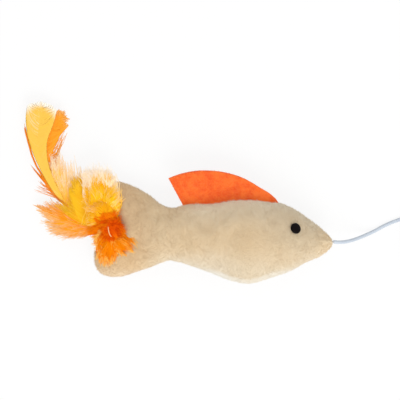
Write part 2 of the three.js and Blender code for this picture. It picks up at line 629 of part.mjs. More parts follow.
// Height falls with the distance from the root, so feathers on different levels pass over each other.
function plumePoint(x, y, level, lift = 0) {
  return new THREE.Vector3(x, y, level * plumeSpacing - plumeSlope * Math.hypot(x, y) + lift);
}
const vaneSteps = 9;
const laneShares = [-1, 0, 1];
const raggedShare = 0.16;
const raggedWaves = 37;
const quillRadiusAt = (t) => mix(quillDiameter, quillTipDiameter, t) / 2;
function vaneSolid(plume, path) {
  const width = profile(plume.widthShares);
  const pointAt = (t, lane, face) => {
    const tangent = path.getTangentAt(t);
    const ragged = 1 - raggedShare * Math.abs(Math.sin(raggedWaves * t + 2 * lane));
    const aside = width(t) * plume.halfWidth * plumeLength * lane * ragged;
    const p = path.getPointAt(t);
    const lift = lane ? face * vaneThickness / 2 - vaneCamber : face * quillRadiusAt(t);
    return plumePoint(p.x - tangent.y * aside, p.y + tangent.x * aside, plume.level, lift);
  };
  const rows = Array.from({ length: vaneSteps + 1 }, (_, i) => mix(plume.vaneFromShare, 0.999, i / vaneSteps));
  const list = [];
  rows.slice(1).forEach((b, i) => {
    const a = rows[i];
    laneShares.slice(1).forEach((m, j) => {
      const l = laneShares[j];
      [1, -1].forEach((face) => pushQuad(
        list, pointAt(a, l, face), pointAt(b, l, face), pointAt(b, m, face), pointAt(a, m, face), face < 0));
    });
    [-1, 1].forEach((edge) => pushQuad(
      list, pointAt(a, edge, -1), pointAt(b, edge, -1), pointAt(b, edge, 1), pointAt(a, edge, 1), edge > 0));
  });
  [rows[0], rows[vaneSteps]].forEach((t, end) => laneShares.slice(1).forEach((m, j) => {
    const l = laneShares[j];
    pushQuad(list, pointAt(t, l, -1), pointAt(t, m, -1), pointAt(t, m, 1), pointAt(t, l, 1), end === 0);
  }));
  return solidOf(geometryOf(list));
}
function strand(points, rootDiameter, tipDiameter, steps = 2, sides = 3) {
  return solidOf(taperedTube(curveThrough(points), (t) => mix(rootDiameter, tipDiameter, t) / 2, steps, sides));
}
const barbShares = [0, 0.5, 1];
const barbBend = 0.35;
const barbLengthVariation = 0.16;
const barbTurnVariation = 0.12;
const quillOverlapShare = 0.05;
function plumeSolid(plume) {
  const path = curveThrough(plume.pathShares.map(([behind, beside]) => (
    new THREE.Vector3(-behind * plume.reach, beside * plume.rise, 0).multiplyScalar(plumeLength))));
  const bare = plume.halfWidth ? plume.vaneFromShare + quillOverlapShare : 1;
  const spine = Array.from({ length: 7 }, (_, i) => path.getPointAt((bare * i) / 6))
    .map((p) => plumePoint(p.x, p.y, plume.level));
  const quill = strand(spine, quillDiameter, 2 * quillRadiusAt(bare), 7, 6);
  const vanes = plume.halfWidth ? [vaneSolid(plume, path)] : [];
  const { count, fromShare, toShare, side, length, turn } = plume.barbs;
  const barbs = Array.from({ length: count }, (_, i) => {
    const t = mix(fromShare, toShare, i / (count - 1));
    const hand = side || (i % 2 ? 1 : -1);
    const start = path.getPointAt(t);
    const tangent = path.getTangentAt(t);
    const reach = plumeLength * length * (1 - barbLengthVariation + barbLengthVariation * Math.sin(5 * i));
    const heading = Math.atan2(tangent.y, tangent.x) + hand * (turn + barbTurnVariation * Math.sin(7 * i));
    const points = barbShares.map((share) => {
      const bent = heading - hand * barbBend * share;
      const x = start.x + reach * share * Math.cos(bent);
      const y = start.y + reach * share * Math.sin(bent);
      return plumePoint(x, y, plume.level);
    });
    return strand(points, barbDiameter, barbTipDiameter);
  });
  return joined([quill, ...vanes, ...barbs]);
}
plumes.forEach((plume) => {
  const group = new THREE.Group();
  group.position.copy(plumeRoot);
  fish.add(group);
  place(group, plume.name, geometryFrom(plumeSolid(plume)), finish[plume.colour]);
});

// Downy feathers: short quills that arch from the tie over the tail, with barbs to both sides
// The seat is a share of the tie's length. Reach, stretch and the length of barbs are shares of the
// tuft length. Path rows are shares of the feather's reach ahead of its root and its stretch beside it.
const tufts = [
  {
    name: 'peach_down', colour: 'peach', around: 1, seat: 0.24, reach: 0.2, stretch: 1, count: 11, length: 0.54,
    spread: 1.2, pathShares: [[0, 0], [-0.1, 0.3], [-0.5, 0.65], [-0.8, 1]],
  },
  {
    name: 'gold_down', colour: 'gold', around: 1, seat: 0.075, reach: 0.36, stretch: 0.84, count: 11, length: 0.5,
    spread: 1.15, pathShares: [[0, 0], [-0.3, 0.25], [-0.55, 0.6], [-0.6, 1]],
  },
  {
    name: 'orange_down', colour: 'orange', around: 2.2, seat: 0.15, reach: 0.22, stretch: -0.68, count: 11,
    length: 0.4, spread: 1.2, pathShares: [[0, 0], [-0.3, 0.3], [0.1, 0.7], [1, 1]],
  },
  {
    name: 'rust_down', colour: 'rust', around: 1.6, seat: 0.24, reach: 0.33, stretch: 0.12, count: 10,
    length: 0.26, spread: 1.35, pathShares: [[0, 0], [0.35, 0.3], [0.65, 0.75], [1, 1]],
  },
];
function flankHeight(along, up) {
  if (along <= 0 || along >= bodyLength) return 0;
  const across = (2 * up - upperEdge(along) - lowerEdge(along)) / (upperEdge(along) - lowerEdge(along));
  const share = (along - rearLimit(across)) / (noseLimit(across) - rearLimit(across));
  if (Math.abs(across) >= 1 || share <= 0) return 0;
  return flankPoint(along, up, 1).z;
}
const tuftRadius = tieDiameter / 2 + clearance + tuftQuillDiameter / 2;
const tuftSteepening = 0.7;
const firstBarbShare = 0.25;
const lastBarbShare = 0.98;
const barbClosingShare = 0.4;
const tuftLengthVariation = 0.2;
function tuftPoint(root, level, x, y) {
  const away = Math.hypot(x - root.x, y - root.y);
  const risen = smooth(0, 1, clamp01(away / tuftArchReach) ** tuftSteepening);
  const arch = tuftLift * risen - tuftFall * smooth(tuftFallFrom, tuftFallTo, away);
  const laid = flankHeight(x, y) + clearance + tuftBarbDiameter;
  return new THREE.Vector3(x, y, Math.max(root.z + arch, laid) + level * tuftSpacing * risen);
}
function tuftSolid(tuft, level) {
  const root = new THREE.Vector3(0, Math.cos(tuft.around), Math.sin(tuft.around)).multiplyScalar(tuftRadius);
  root.add(tieRear).setX(tieRear.x + tuft.seat * tieLength);
  const pointAt = (x, y) => tuftPoint(root, level, x, y);
  const path = curveThrough(tuft.pathShares.map(([ahead, beside]) => (
    new THREE.Vector3(ahead * tuft.reach, beside * tuft.stretch, 0).multiplyScalar(tuftLength).add(root))));
  const spine = path.getSpacedPoints(12).map((p) => pointAt(p.x, p.y));
  const quill = strand(spine, tuftQuillDiameter, tuftTipDiameter, 8, 5);
  const barbs = Array.from({ length: tuft.count }, (_, i) => {
    const t = mix(firstBarbShare, lastBarbShare, (i + 0.5) / tuft.count);
    const hand = i % 2 ? 1 : -1;
    const start = path.getPointAt(t);
    const tangent = path.getTangentAt(t);
    const heading = Math.atan2(tangent.y, tangent.x) + hand * tuft.spread * mix(1, barbClosingShare, t);
    const reach = tuftLength * tuft.length * (1 - tuftLengthVariation + tuftLengthVariation * Math.sin(4 * i + 1));
    const points = [0, 1 / 3, 2 / 3, 1].map((share) => (
      pointAt(start.x + reach * share * Math.cos(heading), start.y + reach * share * Math.sin(heading))));
    return strand(points, tuftBarbDiameter, tuftTipDiameter, 3);
  });
  return joined([quill, ...barbs]);
}
tufts.forEach((tuft, level) => {
  place(fish, tuft.name, geometryFrom(tuftSolid(tuft, level)), finish[tuft.colour]);
});

// Cord: knotted inside the nose, laid down to the table, coiled and knotted again at its end
function cordTube(curve, steps, sides) {
  const corners = Array.from({ length: sides }, (_, k) => {
    const angle = (twoPi * k) / sides;
    return new THREE.Vector2(Math.cos(angle), Math.sin(angle)).multiplyScalar(cordDiameter / 2);
  });
  return new THREE.ExtrudeGeometry(new THREE.Shape(corners), { extrudePath: curve, steps, bevelEnabled: false });
}
function leastGap(curve, samples) {
  const points = curve.getSpacedPoints(samples);
  const apart = Math.ceil((3 * cordDiameter * samples) / curve.getLength());
  let least = Infinity;
  points.forEach((p, i) => points.slice(i + apart).forEach((q) => { least = Math.min(least, p.distanceTo(q)); }));
  return least - cordDiameter;
}
const stubEnd = exitPoint.clone().addScaledVector(exitDirection, -clearance).sub(knotCentre);
const stubStart = exitPoint.clone().addScaledVector(exitDirection, -clearance - cordDiameter).sub(knotCentre);
const anchorCurve = knotCurve(anchorTailLength, [stubStart, stubEnd]);
const anchor = place(fish, 'cord_anchor_knot', cordTube(anchorCurve, 30, 8), finish.cord);
anchor.position.copy(knotCentre);

const floorHeight = cordDiameter / 2;
const turnPitch = cordDiameter + coilTurnGap;
const coilCentreAlong = rearEdge + bodyLength + coilCentreAhead;
const coilCentre = new THREE.Vector3(coilCentreAlong, axisOffset + coilCentreAside, floorHeight);
const coilOuterRadius = coilMiddleRadius + (turnsPerLayer * turnPitch) / 2;
const coilTurns = coilLayers * turnsPerLayer;
function coilPoint(turn) {
  const layer = Math.min(coilLayers - 1, Math.floor(turn / turnsPerLayer));
  const within = turn - layer * turnsPerLayer;
  const radius = coilOuterRadius - turnPitch * (layer % 2 ? turnsPerLayer - within : within);
  const climbs = Array.from({ length: coilLayers - 1 }, (_, k) => {
    const reversal = (k + 1) * turnsPerLayer;
    return smooth(reversal - 0.25, reversal + 0.25, turn);
  });
  const height = turnPitch * climbs.reduce((sum, climb) => sum + climb, 0);
  const angle = twoPi * turn;
  return new THREE.Vector3(radius * Math.sin(angle), radius * Math.cos(angle), height).add(coilCentre);
}
const stepsPerTurn = 24;
const windings = Array.from({ length: coilTurns * stepsPerTurn + 1 }, (_, i) => coilPoint(i / stepsPerTurn));
const coilStart = windings[0].clone().setX(windings[0].x - cordDiameter);
const lastWinding = windings[windings.length - 1];
const coilEnd = lastWinding.clone().setX(lastWinding.x + cordDiameter);
const coilCurve = curveThrough([coilStart, ...windings, coilEnd]);
coilCurve.arcLengthDivisions = 10 * windings.length;
place(toy, 'cord_coil', cordTube(coilCurve, windings.length + 1, 6), finish.cord);

const leadStart = exitPoint.clone().add(fish.position);
const leadEnd = coilStart.clone().setX(coilStart.x - clearance);
const leadRoute = [
  [79.4, -25.15, 11.7], [82.5, -25.1, 10.6], [85.5, -24.65, 8.9], [88.8, -23.75, 6.6], [92.1, -22.6, 4.3],
  [95.6, -21.15, 2.4], [99, -19.6, 1.3], [102.4, -17.75, 0.95], [106.5, -15.75, 0.9], [110.75, -14.15, 0.9],
  [115.5, -12.6, 0.9], [120.3, -11.75, 0.9],
].map((point) => new THREE.Vector3(...point));
const leadCurve = curveThrough([leadStart, ...leadRoute, leadEnd]);
place(toy, 'cord_lead', cordTube(leadCurve, 24, 8), finish.cord);

const endCentre = new THREE.Vector3(coilEnd.x + endRun, coilEnd.y - knotStandOff, knotHalfHeight);
const endStart = new THREE.Vector3(coilEnd.x + clearance, coilEnd.y, coilEnd.z);
const intoEnd = (x, z) => new THREE.Vector3(endCentre.x - x, endCentre.y - endStart.y, z - endCentre.z);
const endCurve = knotCurve(endTailLength, [
  intoEnd(mix(endStart.x, endCentre.x, 0.5), mix(endStart.z, endCentre.z, 0.62)),
  intoEnd(endStart.x + cordDiameter, endStart.z - cordDiameter / 9),
  intoEnd(endStart.x, endStart.z),
]);
const endKnot = place(toy, 'cord_end_knot', cordTube(endCurve, 34, 8), finish.cord);
endKnot.position.copy(endCentre);
endKnot.rotation.z = Math.PI;

const cordCurves = [anchorCurve, leadCurve, coilCurve, endCurve];
const cordLength = cordCurves.reduce((sum, curve) => sum + curve.getLength(), 0);
const coilGap = leastGap(coilCurve, 1000).toFixed(2);
const knotGaps = [anchorCurve, endCurve].map((curve) => leastGap(curve, 300).toFixed(2)).join(' and ');
console.log(`Cord length ${cordLength.toFixed(0)} mm`);
console.log(`Least gap in the coil ${coilGap} mm, in its knots ${knotGaps} mm`);

export default toy;
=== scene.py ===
import math

import bpy
import numpy as np
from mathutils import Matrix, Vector, noise
from mathutils.kdtree import KDTree


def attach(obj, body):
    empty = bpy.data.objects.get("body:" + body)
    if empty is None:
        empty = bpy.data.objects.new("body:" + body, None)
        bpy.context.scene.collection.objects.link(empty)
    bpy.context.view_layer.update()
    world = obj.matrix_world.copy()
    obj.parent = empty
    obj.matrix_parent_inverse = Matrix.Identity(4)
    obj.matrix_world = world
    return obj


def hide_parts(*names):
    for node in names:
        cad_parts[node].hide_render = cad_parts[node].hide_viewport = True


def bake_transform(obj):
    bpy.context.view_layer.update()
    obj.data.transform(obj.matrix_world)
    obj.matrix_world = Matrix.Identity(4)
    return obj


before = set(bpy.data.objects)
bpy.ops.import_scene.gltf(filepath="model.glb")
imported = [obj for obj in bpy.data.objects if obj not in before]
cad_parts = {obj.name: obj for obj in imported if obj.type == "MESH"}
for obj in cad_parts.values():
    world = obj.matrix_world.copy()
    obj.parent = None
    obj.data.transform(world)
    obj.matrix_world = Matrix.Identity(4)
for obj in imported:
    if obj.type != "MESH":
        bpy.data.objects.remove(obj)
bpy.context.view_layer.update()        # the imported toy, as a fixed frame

mm = 0.001                                      # every size below is written in millimetres
fullTurn = 2 * math.pi


def say(text):
    print("fish toy:", text)


def tone(red, green, blue):                     # a screen colour, as Blender's linear one
    parts = [value / 255 for value in (red, green, blue)]
    return tuple(p / 12.92 if p <= 0.04045 else ((p + 0.055) / 1.055) ** 2.4 for p in parts) + (1.0,)


def mix(a, b, t):
    return a + (b - a) * t


def smooth(a, b, x):
    t = np.clip((np.asarray(x, float) - a) / (b - a), 0, 1)
    return t * t * (3 - 2 * t)


def bell(x):                                    # 1 in the middle, fading out to both sides
    return np.exp(-(x**2))


def unit(vectors):
    return vectors / np.linalg.norm(vectors, axis=-1, keepdims=True)


# Object helpers
def addObject(name, data):
    item = bpy.data.objects.new(name, data)
    bpy.context.scene.collection.objects.link(item)
    return item


def meshObject(name, points, faces, material=None, isSmooth=True):
    mesh = bpy.data.meshes.new(name)
    mesh.from_pydata((np.asarray(points, float) * mm).tolist(), [], [tuple(face) for face in faces])
    mesh.polygons.foreach_set("use_smooth", [isSmooth] * len(mesh.polygons))
    if material:
        mesh.materials.append(material)
    mesh.update()
    return addObject(name, mesh)


def evaluatedMesh(item):
    return bpy.data.meshes.new_from_object(item.evaluated_get(bpy.context.evaluated_depsgraph_get()))


def setAttribute(mesh, name, values):
    mesh.attributes.new(name, "FLOAT", "POINT").data.foreach_set("value", np.asarray(values, np.float32))


def settle(piece, body, slotName, *nodes):      # the body a piece rides and the solids it replaces, which are hidden; slotName is not used
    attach(piece, body)
    if nodes:
        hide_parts(*nodes)


def readLayer(items, key, width=3, kind=float):
    values = np.zeros(len(items) * width, kind)
    items.foreach_get(key, values)
    return values.reshape(-1, width)


def gridFaces(index, isFlipped):                # quads between the point numbers of a grid
    a, b, c, d = index[:-1, :-1], index[1:, :-1], index[1:, 1:], index[:-1, 1:]
    return np.stack([a, d, c, b] if isFlipped else [a, b, c, d], -1).reshape(-1, 4).tolist()


def ringFaces(rings, sides):
    index = np.arange(rings * sides).reshape(rings, sides)
    return gridFaces(np.hstack([index, index[:, :1]]), True)


# Camera, straight over the toy as in the photograph
cameraValues = {"centre": (10.75, -4.0), "span": 200, "level": 15, "distance": 1400, "sensor": 36,
                "clip": (50, 20000)}


def makeCamera(v):
    data = bpy.data.cameras.new("camera")
    data.sensor_fit = "HORIZONTAL"
    data.sensor_width = v["sensor"]
    data.lens = v["sensor"] * v["distance"] / v["span"]
    data.clip_start, data.clip_end = (reach * mm for reach in v["clip"])
    camera = addObject("camera", data)
    camera.location = (v["centre"][0] * mm, v["centre"][1] * mm, (v["level"] + v["distance"]) * mm)
    bpy.context.scene.camera = camera


makeCamera(cameraValues)


# Node helpers
def setInputs(tree, node, values):              # links each input, or gives it a plain value
    for key, value in values.items():
        if isinstance(value, bpy.types.NodeSocket):
            tree.links.new(value, node.inputs[key])
        else:
            node.inputs[key].default_value = value


def addNode(tree, kind, inputs=None, **settings):
    node = tree.nodes.new(kind)
    for key, value in settings.items():
        setattr(node, key, value)
    setInputs(tree, node, inputs or {})
    return node


def through(tree, kind, inputs=None, **settings):       # a node's first output
    return addNode(tree, kind, inputs, **settings).outputs[0]


def calculate(tree, operation, *operands):
    return through(tree, "ShaderNodeMath", dict(enumerate(operands)), operation=operation)


def mapRange(tree, value, fromMin, fromMax, toMin=0.0, toMax=1.0, kind="SMOOTHSTEP"):
    return through(tree, "ShaderNodeMapRange", {
        "Value": value, "From Min": fromMin, "From Max": fromMax, "To Min": toMin, "To Max": toMax},
        interpolation_type=kind)


def mixColours(tree, factor, first, second, blend="MIX"):       # colours are inputs 6 and 7, and output 2
    return addNode(tree, "ShaderNodeMix", {0: factor, 6: first, 7: second},
                   data_type="RGBA", blend_type=blend).outputs[2]


def objectPlace(tree):
    return addNode(tree, "ShaderNodeTexCoord").outputs["Object"]


def attributeOf(tree, name):
    return addNode(tree, "ShaderNodeAttribute", attribute_name=name).outputs["Fac"]


def newMaterial(name, surface):                 # surface: plain values of the Principled shader
    material = bpy.data.materials.new(name)
    material.use_nodes = True
    shader = material.node_tree.nodes["Principled BSDF"]
    setInputs(material.node_tree, shader, surface)
    return material, material.node_tree, shader


def newGroup(name, kind, inputs, outputs):      # inputs and outputs: the names of the sockets of each type
    group = bpy.data.node_groups.new(name, kind)
    for inOut, sockets in (("INPUT", inputs), ("OUTPUT", outputs)):
        for socketType, labels in sockets.items():
            for label in labels:
                group.interface.new_socket(name=label, in_out=inOut, socket_type="NodeSocket" + socketType)
    return group, group.nodes.new("NodeGroupInput").outputs, group.nodes.new("NodeGroupOutput")


# Shared effect: cloth that is mottled in wide patches and flecked by its fibres
clothColours = ("tone", "shade", "light")
clothAmounts = ("patchScale", "fibreScale", "patches", "fibres")
clothNoise = {"patch": {"Detail": 3.0, "Roughness": 0.55},
              "fibre": {"Detail": 2.0, "Roughness": 0.7, "Distortion": 0.6},
              "patchEdges": (0.35, 0.68), "fibreEdges": (0.3, 0.72)}


def makeClothGroup():
    group, given, result = newGroup("clothMottle", "ShaderNodeTree", {
        "Color": clothColours, "Float": clothAmounts}, {"Color": ("Color",), "Float": ("Height",)})
    place = objectPlace(group)
    patch, fibre = (through(group, "ShaderNodeTexNoise", {
        "Vector": place, "Scale": given[part + "Scale"], **clothNoise[part]}) for part in ("patch", "fibre"))
    height = mapRange(group, fibre, *clothNoise["fibreEdges"])
    inPatch = mapRange(group, patch, *clothNoise["patchEdges"])
    inPatch = calculate(group, "MULTIPLY", inPatch, given["patches"])
    onFibre = calculate(group, "MULTIPLY", height, given["fibres"])
    shaded = mixColours(group, inPatch, given["tone"], given["shade"])
    setInputs(group, result, {"Color": mixColours(group, onFibre, shaded, given["light"]), "Height": height})
    return group


# Shared effect: a feather's dye, from the root of the feather and of each barb to their tips
dyeColours = ("root", "middle", "tip", "dark")
dyeAmounts = ("middleAt", "tipFrom", "variation")
strandLayers = ("along", "hue")
hueEnds = ((0.62, 1.0, "dark"), (0.38, 0.0, "tip"))     # barbs of high and of low hue take another colour
plainHue = 0.5                                  # keeps the dye as it is


def makeDyeGroup():
    group, given, result = newGroup("featherDye", "ShaderNodeTree", {
        "Color": dyeColours, "Float": strandLayers + dyeAmounts}, {"Color": ("Color",)})
    toMiddle = mapRange(group, given["along"], 0.0, given["middleAt"])
    toTip = mapRange(group, given["along"], given["tipFrom"], 1.0)
    colour = mixColours(group, toMiddle, given["root"], given["middle"])
    colour = mixColours(group, toTip, colour, given["tip"])
    for start, end, other in hueEnds:
        share = calculate(group, "MULTIPLY", mapRange(group, given["hue"], start, end), given["variation"])
        colour = mixColours(group, share, colour, given[other])
    setInputs(group, result, {"Color": colour})
    return group


clothGroup = makeClothGroup()
dyeGroup = makeDyeGroup()
grainEdges = (0.3, 0.7)
barbSurface = {"Roughness": 0.8, "Specular IOR Level": 0.05, "Sheen Weight": 0.5}


def clothMaterial(name, v, overlay=None):       # overlay: a function that changes the cloth's colour
    material, tree, shader = newMaterial(name, {
        "Roughness": v["roughness"], "Sheen Weight": v["sheen"], "Specular IOR Level": v["shine"]})
    given = {key: v[key] for key in clothColours + clothAmounts}
    cloth = addNode(tree, "ShaderNodeGroup", given, node_tree=clothGroup).outputs
    bump = through(tree, "ShaderNodeBump", {
        "Strength": v["bump"], "Distance": v["bumpDepth"] * mm, "Height": cloth["Height"]})
    colour = overlay(tree, cloth["Color"], v) if overlay else cloth["Color"]
    setInputs(tree, shader, {"Base Color": colour, "Normal": bump})
    return material


def grainyMaterial(name, v):                    # plastic with a faint grain
    material, tree, shader = newMaterial(name, {"Specular IOR Level": v["shine"]})
    grain = through(tree, "ShaderNodeTexNoise", {
        "Vector": objectPlace(tree), "Scale": v["grainScale"], "Detail": v["grainDetail"]})
    setInputs(tree, shader, {"Base Color": mixColours(tree, grain, v["dark"], v["light"]),
                             "Roughness": mapRange(tree, grain, *grainEdges, *v["roughness"])})
    return material


def dye(root, middle, tip, dark, middleAt, tipFrom, variation, paintedGlow=0.08):  # screen colours, then shares, then the strength of the painted glow
    colours = {key: tone(*value) for key, value in zip(dyeColours, (root, middle, tip, dark))}
    return {**colours, "middleAt": middleAt, "tipFrom": tipFrom, "variation": variation, "paintedGlow": paintedGlow}


def featherMaterial(name, v):                   # painted light: the emission makes the strands glow in their own dye colour, standing in for the light that thin barbs pass on
    material, tree, shader = newMaterial(name, {
        **barbSurface, "Sheen Tint": v["middle"], "Emission Strength": v["paintedGlow"]})
    given = {key: v[key] for key in dyeColours + dyeAmounts}
    given.update({key: attributeOf(tree, key) for key in strandLayers})
    colour = through(tree, "ShaderNodeGroup", given, node_tree=dyeGroup)
    setInputs(tree, shader, {"Base Color": colour, "Emission Color": colour})
    return material


# Geometry Nodes: strands along guide lines, and short pile on a surface
def finishTree(tree, result, shape, material):
    whole = through(tree, "GeometryNodeRealizeInstances", {"Geometry": shape})
    done = through(tree, "GeometryNodeSetMaterial", {"Geometry": whole, "Material": material})
    setInputs(tree, result, {"Geometry": done})
    return tree


def makeStrandTree():                           # a tapered strand along each guide line
    tree, given, result = newGroup("strandTree", "GeometryNodeTree", {
        "Geometry": ("Geometry",), "Int": ("Sides",), "Float": ("Flatness",), "Material": ("Material",)},
        {"Geometry": ("Geometry",)})
    line = through(tree, "GeometryNodeMeshToCurve", {"Mesh": given["Geometry"]})
    line = through(tree, "GeometryNodeSetCurveNormal", {"Curve": line}, mode="Z_UP")
    radius = through(tree, "GeometryNodeInputNamedAttribute", {"Name": "strandRadius"}, data_type="FLOAT")
    ring = through(tree, "GeometryNodeCurvePrimitiveCircle", {"Resolution": given["Sides"], "Radius": 1.0})
    flat = through(tree, "ShaderNodeCombineXYZ", {"X": 1.0, "Y": given["Flatness"], "Z": 1.0})
    ring = through(tree, "GeometryNodeTransform", {"Geometry": ring, "Scale": flat})
    strand = through(tree, "GeometryNodeCurveToMesh", {
        "Curve": line, "Profile Curve": ring, "Scale": radius, "Fill Caps": True})
    strand = through(tree, "GeometryNodeSetShadeSmooth", {"Geometry": strand})
    return finishTree(tree, result, strand, given["Material"])


fibreSizes = (0.55, 1.15)                       # shares of the pile's length


def makePileTree():                             # fibres that lean one way, in some disorder
    tree, given, result = newGroup("pileTree", "GeometryNodeTree", {
        "Geometry": ("Geometry",), "Float": ("Density", "Fibre length", "Fibre radius", "Disorder"),
        "Vector": ("Lean",), "Int": ("Seed",), "Material": ("Material",)}, {"Geometry": ("Geometry",)})
    cover = through(tree, "GeometryNodeInputNamedAttribute", {"Name": "pileCover"}, data_type="FLOAT")
    density = calculate(tree, "MULTIPLY", given["Density"], cover)
    strewn = addNode(tree, "GeometryNodeDistributePointsOnFaces", {
        "Mesh": given["Geometry"], "Density": density, "Seed": given["Seed"]},
        distribute_method="RANDOM").outputs
    fibre = through(tree, "GeometryNodeMeshCone", {
        "Vertices": 3, "Radius Top": 0.0, "Radius Bottom": given["Fibre radius"],
        "Depth": given["Fibre length"]}, fill_type="NONE")
    jitter = through(tree, "FunctionNodeRandomValue", {
        "Min": (-1, -1, -1), "Max": (1, 1, 1), "Seed": given["Seed"]}, data_type="FLOAT_VECTOR")
    jitter = through(tree, "ShaderNodeVectorMath", {0: jitter, "Scale": given["Disorder"]}, operation="SCALE")
    leaning = through(tree, "ShaderNodeVectorMath", {0: strewn["Normal"], 1: given["Lean"]}, operation="ADD")
    heading = through(tree, "ShaderNodeVectorMath", {0: leaning, 1: jitter}, operation="ADD")
    standing = through(tree, "FunctionNodeAlignRotationToVector", {"Vector": heading}, axis="Z")
    size = addNode(tree, "FunctionNodeRandomValue", {
        2: fibreSizes[0], 3: fibreSizes[1], "Seed": given["Seed"]}, data_type="FLOAT").outputs[1]
    pile = through(tree, "GeometryNodeInstanceOnPoints", {
        "Points": strewn["Points"], "Instance": fibre, "Rotation": standing, "Scale": size})
    return finishTree(tree, result, pile, given["Material"])


strandTree = makeStrandTree()
pileTree = makePileTree()


def grow(source, tree, values, name):           # runs a tree on an object and keeps the result as a mesh
    modifier = source.modifiers.new("grow", "NODES")
    modifier.node_group = tree
    for item in tree.interface.items_tree:
        if item.in_out == "INPUT" and item.name in values:
            modifier[item.identifier] = values[item.name]
    bpy.context.view_layer.update()
    mesh = evaluatedMesh(source)
    source.modifiers.remove(modifier)
    mesh.name = name
    return addObject(name, mesh)


def growPile(ground, v, seed, material, name):
    return grow(ground, pileTree, {
        "Density": v["density"], "Fibre length": v["length"] * mm, "Fibre radius": v["radius"] * mm,
        "Lean": v["lean"], "Disorder": v["disorder"], "Seed": seed, "Material": material}, name)


# Curve helpers
def smoothCurve(points, perSegment):            # the same centripetal curve that the solids follow
    given = np.asarray(points, float)
    ends = np.vstack([2 * given[0] - given[1], given, 2 * given[-1] - given[-2]])
    t = np.linspace(0, 1, perSegment, endpoint=False)[:, None]
    pieces = []
    for i in range(len(given) - 1):
        p0, p1, p2, p3 = ends[i:i + 4]
        d0, d1, d2 = (max(np.linalg.norm(b - a) ** 0.5, 1e-3) for a, b in ((p0, p1), (p1, p2), (p2, p3)))
        leave = ((p1 - p0) / d0 - (p2 - p0) / (d0 + d1) + (p2 - p1) / d1) * d1
        arrive = ((p2 - p1) / d1 - (p3 - p1) / (d1 + d2) + (p3 - p2) / d2) * d1
        pieces.append(p1 * (2 * t**3 - 3 * t**2 + 1) + leave * (t**3 - 2 * t**2 + t)
                      + p2 * (3 * t**2 - 2 * t**3) + arrive * (t**3 - t**2))
    return np.vstack(pieces + [given[-1:]])


def stepLengths(path):
    return np.linalg.norm(np.diff(path, axis=0), axis=1)


def runAlong(path):                             # each point's distance from the start, along the path
    return np.concatenate([[0], np.cumsum(stepLengths(path))])


def evenly(path, spacing=None, count=None):     # the same route with points at an even distance
    run = runAlong(path)
    at = np.linspace(0, run[-1], count or max(2, int(round(run[-1] / spacing)) + 1))
    return np.column_stack([np.interp(at, run, path[:, k]) for k in range(path.shape[1])])


def frameAlong(path):                           # two directions square to the path, without twist
    tangents = unit(np.gradient(path, axis=0))
    sides = [unit(np.cross(tangents[0], (0, 0, 1.0)))]
    for tangent in tangents[1:]:
        sides.append(unit(sides[-1] - tangent * np.dot(sides[-1], tangent)))
    return np.array(sides), np.cross(tangents, sides)


def profileThrough(points):                     # the same smooth profile that the solids use
    xs, ys = np.array(points, float).T
    before, after = np.maximum(np.arange(len(xs)) - 1, 0), np.minimum(np.arange(len(xs)) + 1, len(xs) - 1)
    slopes = (ys[after] - ys[before]) / (xs[after] - xs[before])

    def at(value):
        x = np.clip(np.asarray(value, float), xs[0], xs[-1])
        k = np.clip(np.searchsorted(xs, x, side="right") - 1, 0, len(xs) - 2)
        span = xs[k + 1] - xs[k]
        t = (x - xs[k]) / span
        return (ys[k] * (1 + 2 * t) * (1 - t) ** 2 + slopes[k] * span * t * (1 - t) ** 2
                + ys[k + 1] * t * t * (3 - 2 * t) + slopes[k + 1] * span * t * t * (t - 1))

    return at


# Cord: thin braided elastic, from the nose down to the table, coiled and knotted past the picture's edge
cordValues = {
    "diameter": 1.8, "exit": (77.2, -24.8, 12.0), "sides": 20, "ringSpacing": 0.3, "routeSpacing": 0.6,
    "braidStrands": 5, "braidPitch": 1.7, "braidRelief": 0.075, "braidRoundness": 0.6, "endShare": 0.02,
    "lead": [(79.4, -25.15, 11.7), (82.5, -25.1, 10.6), (85.5, -24.65, 8.9), (88.8, -23.75, 6.6),
             (92.1, -22.6, 4.3), (95.6, -21.15, 2.4), (99, -19.6, 1.3), (102.4, -17.75, 0.95),
             (106.5, -15.75, 0.9), (110.75, -14.15, 0.9), (115.5, -12.6, 0.9), (120.3, -11.75, 0.9)],
    "leadSteps": 12, "coilSteps": 3, "knotSteps": 8, "ease": 0.3,
    "coilCentre": (128.0, -24.5, 0.9), "coilRadius": 12.91, "coilPitch": 2.26, "coilLayers": 4,
    "turnsPerLayer": 2, "pointsPerTurn": 24, "climbTurns": 0.25,
    "stretch": 0.72, "rise": 1.1, "opening": 0.42, "loopPoints": 17, "endTail": 7.0, "noseTail": 5.0,
    "standingShares": [(0.3, 0.9, -1), (2.4, 1, -0.9), (4.6, 1, -0.3)], "arrivalShares": (0.5, 0.62),
    "settle": 0.2, "endCentre": (146.8, -15.478, 2.88), "noseKnotCentre": (62.2, -20.912, 13.8737),
    "noseAnchor": (62.2, -24.8, 13.8737),
    "material": {"tone": tone(192, 201, 212), "shade": tone(148, 160, 182), "light": tone(218, 225, 233),
                 "patchScale": 300.0, "fibreScale": 6000.0, "patches": 0.15, "fibres": 0.4, "bump": 0.3,
                 # groove and grooveShade: where and how strongly painted shade darkens the braid's grooves
                 "bumpDepth": 0.05, "roughness": 0.75, "sheen": 0.0, "shine": 0.15, "groove": (0.65, 0.1),
                 "grooveShade": 0.55},
}


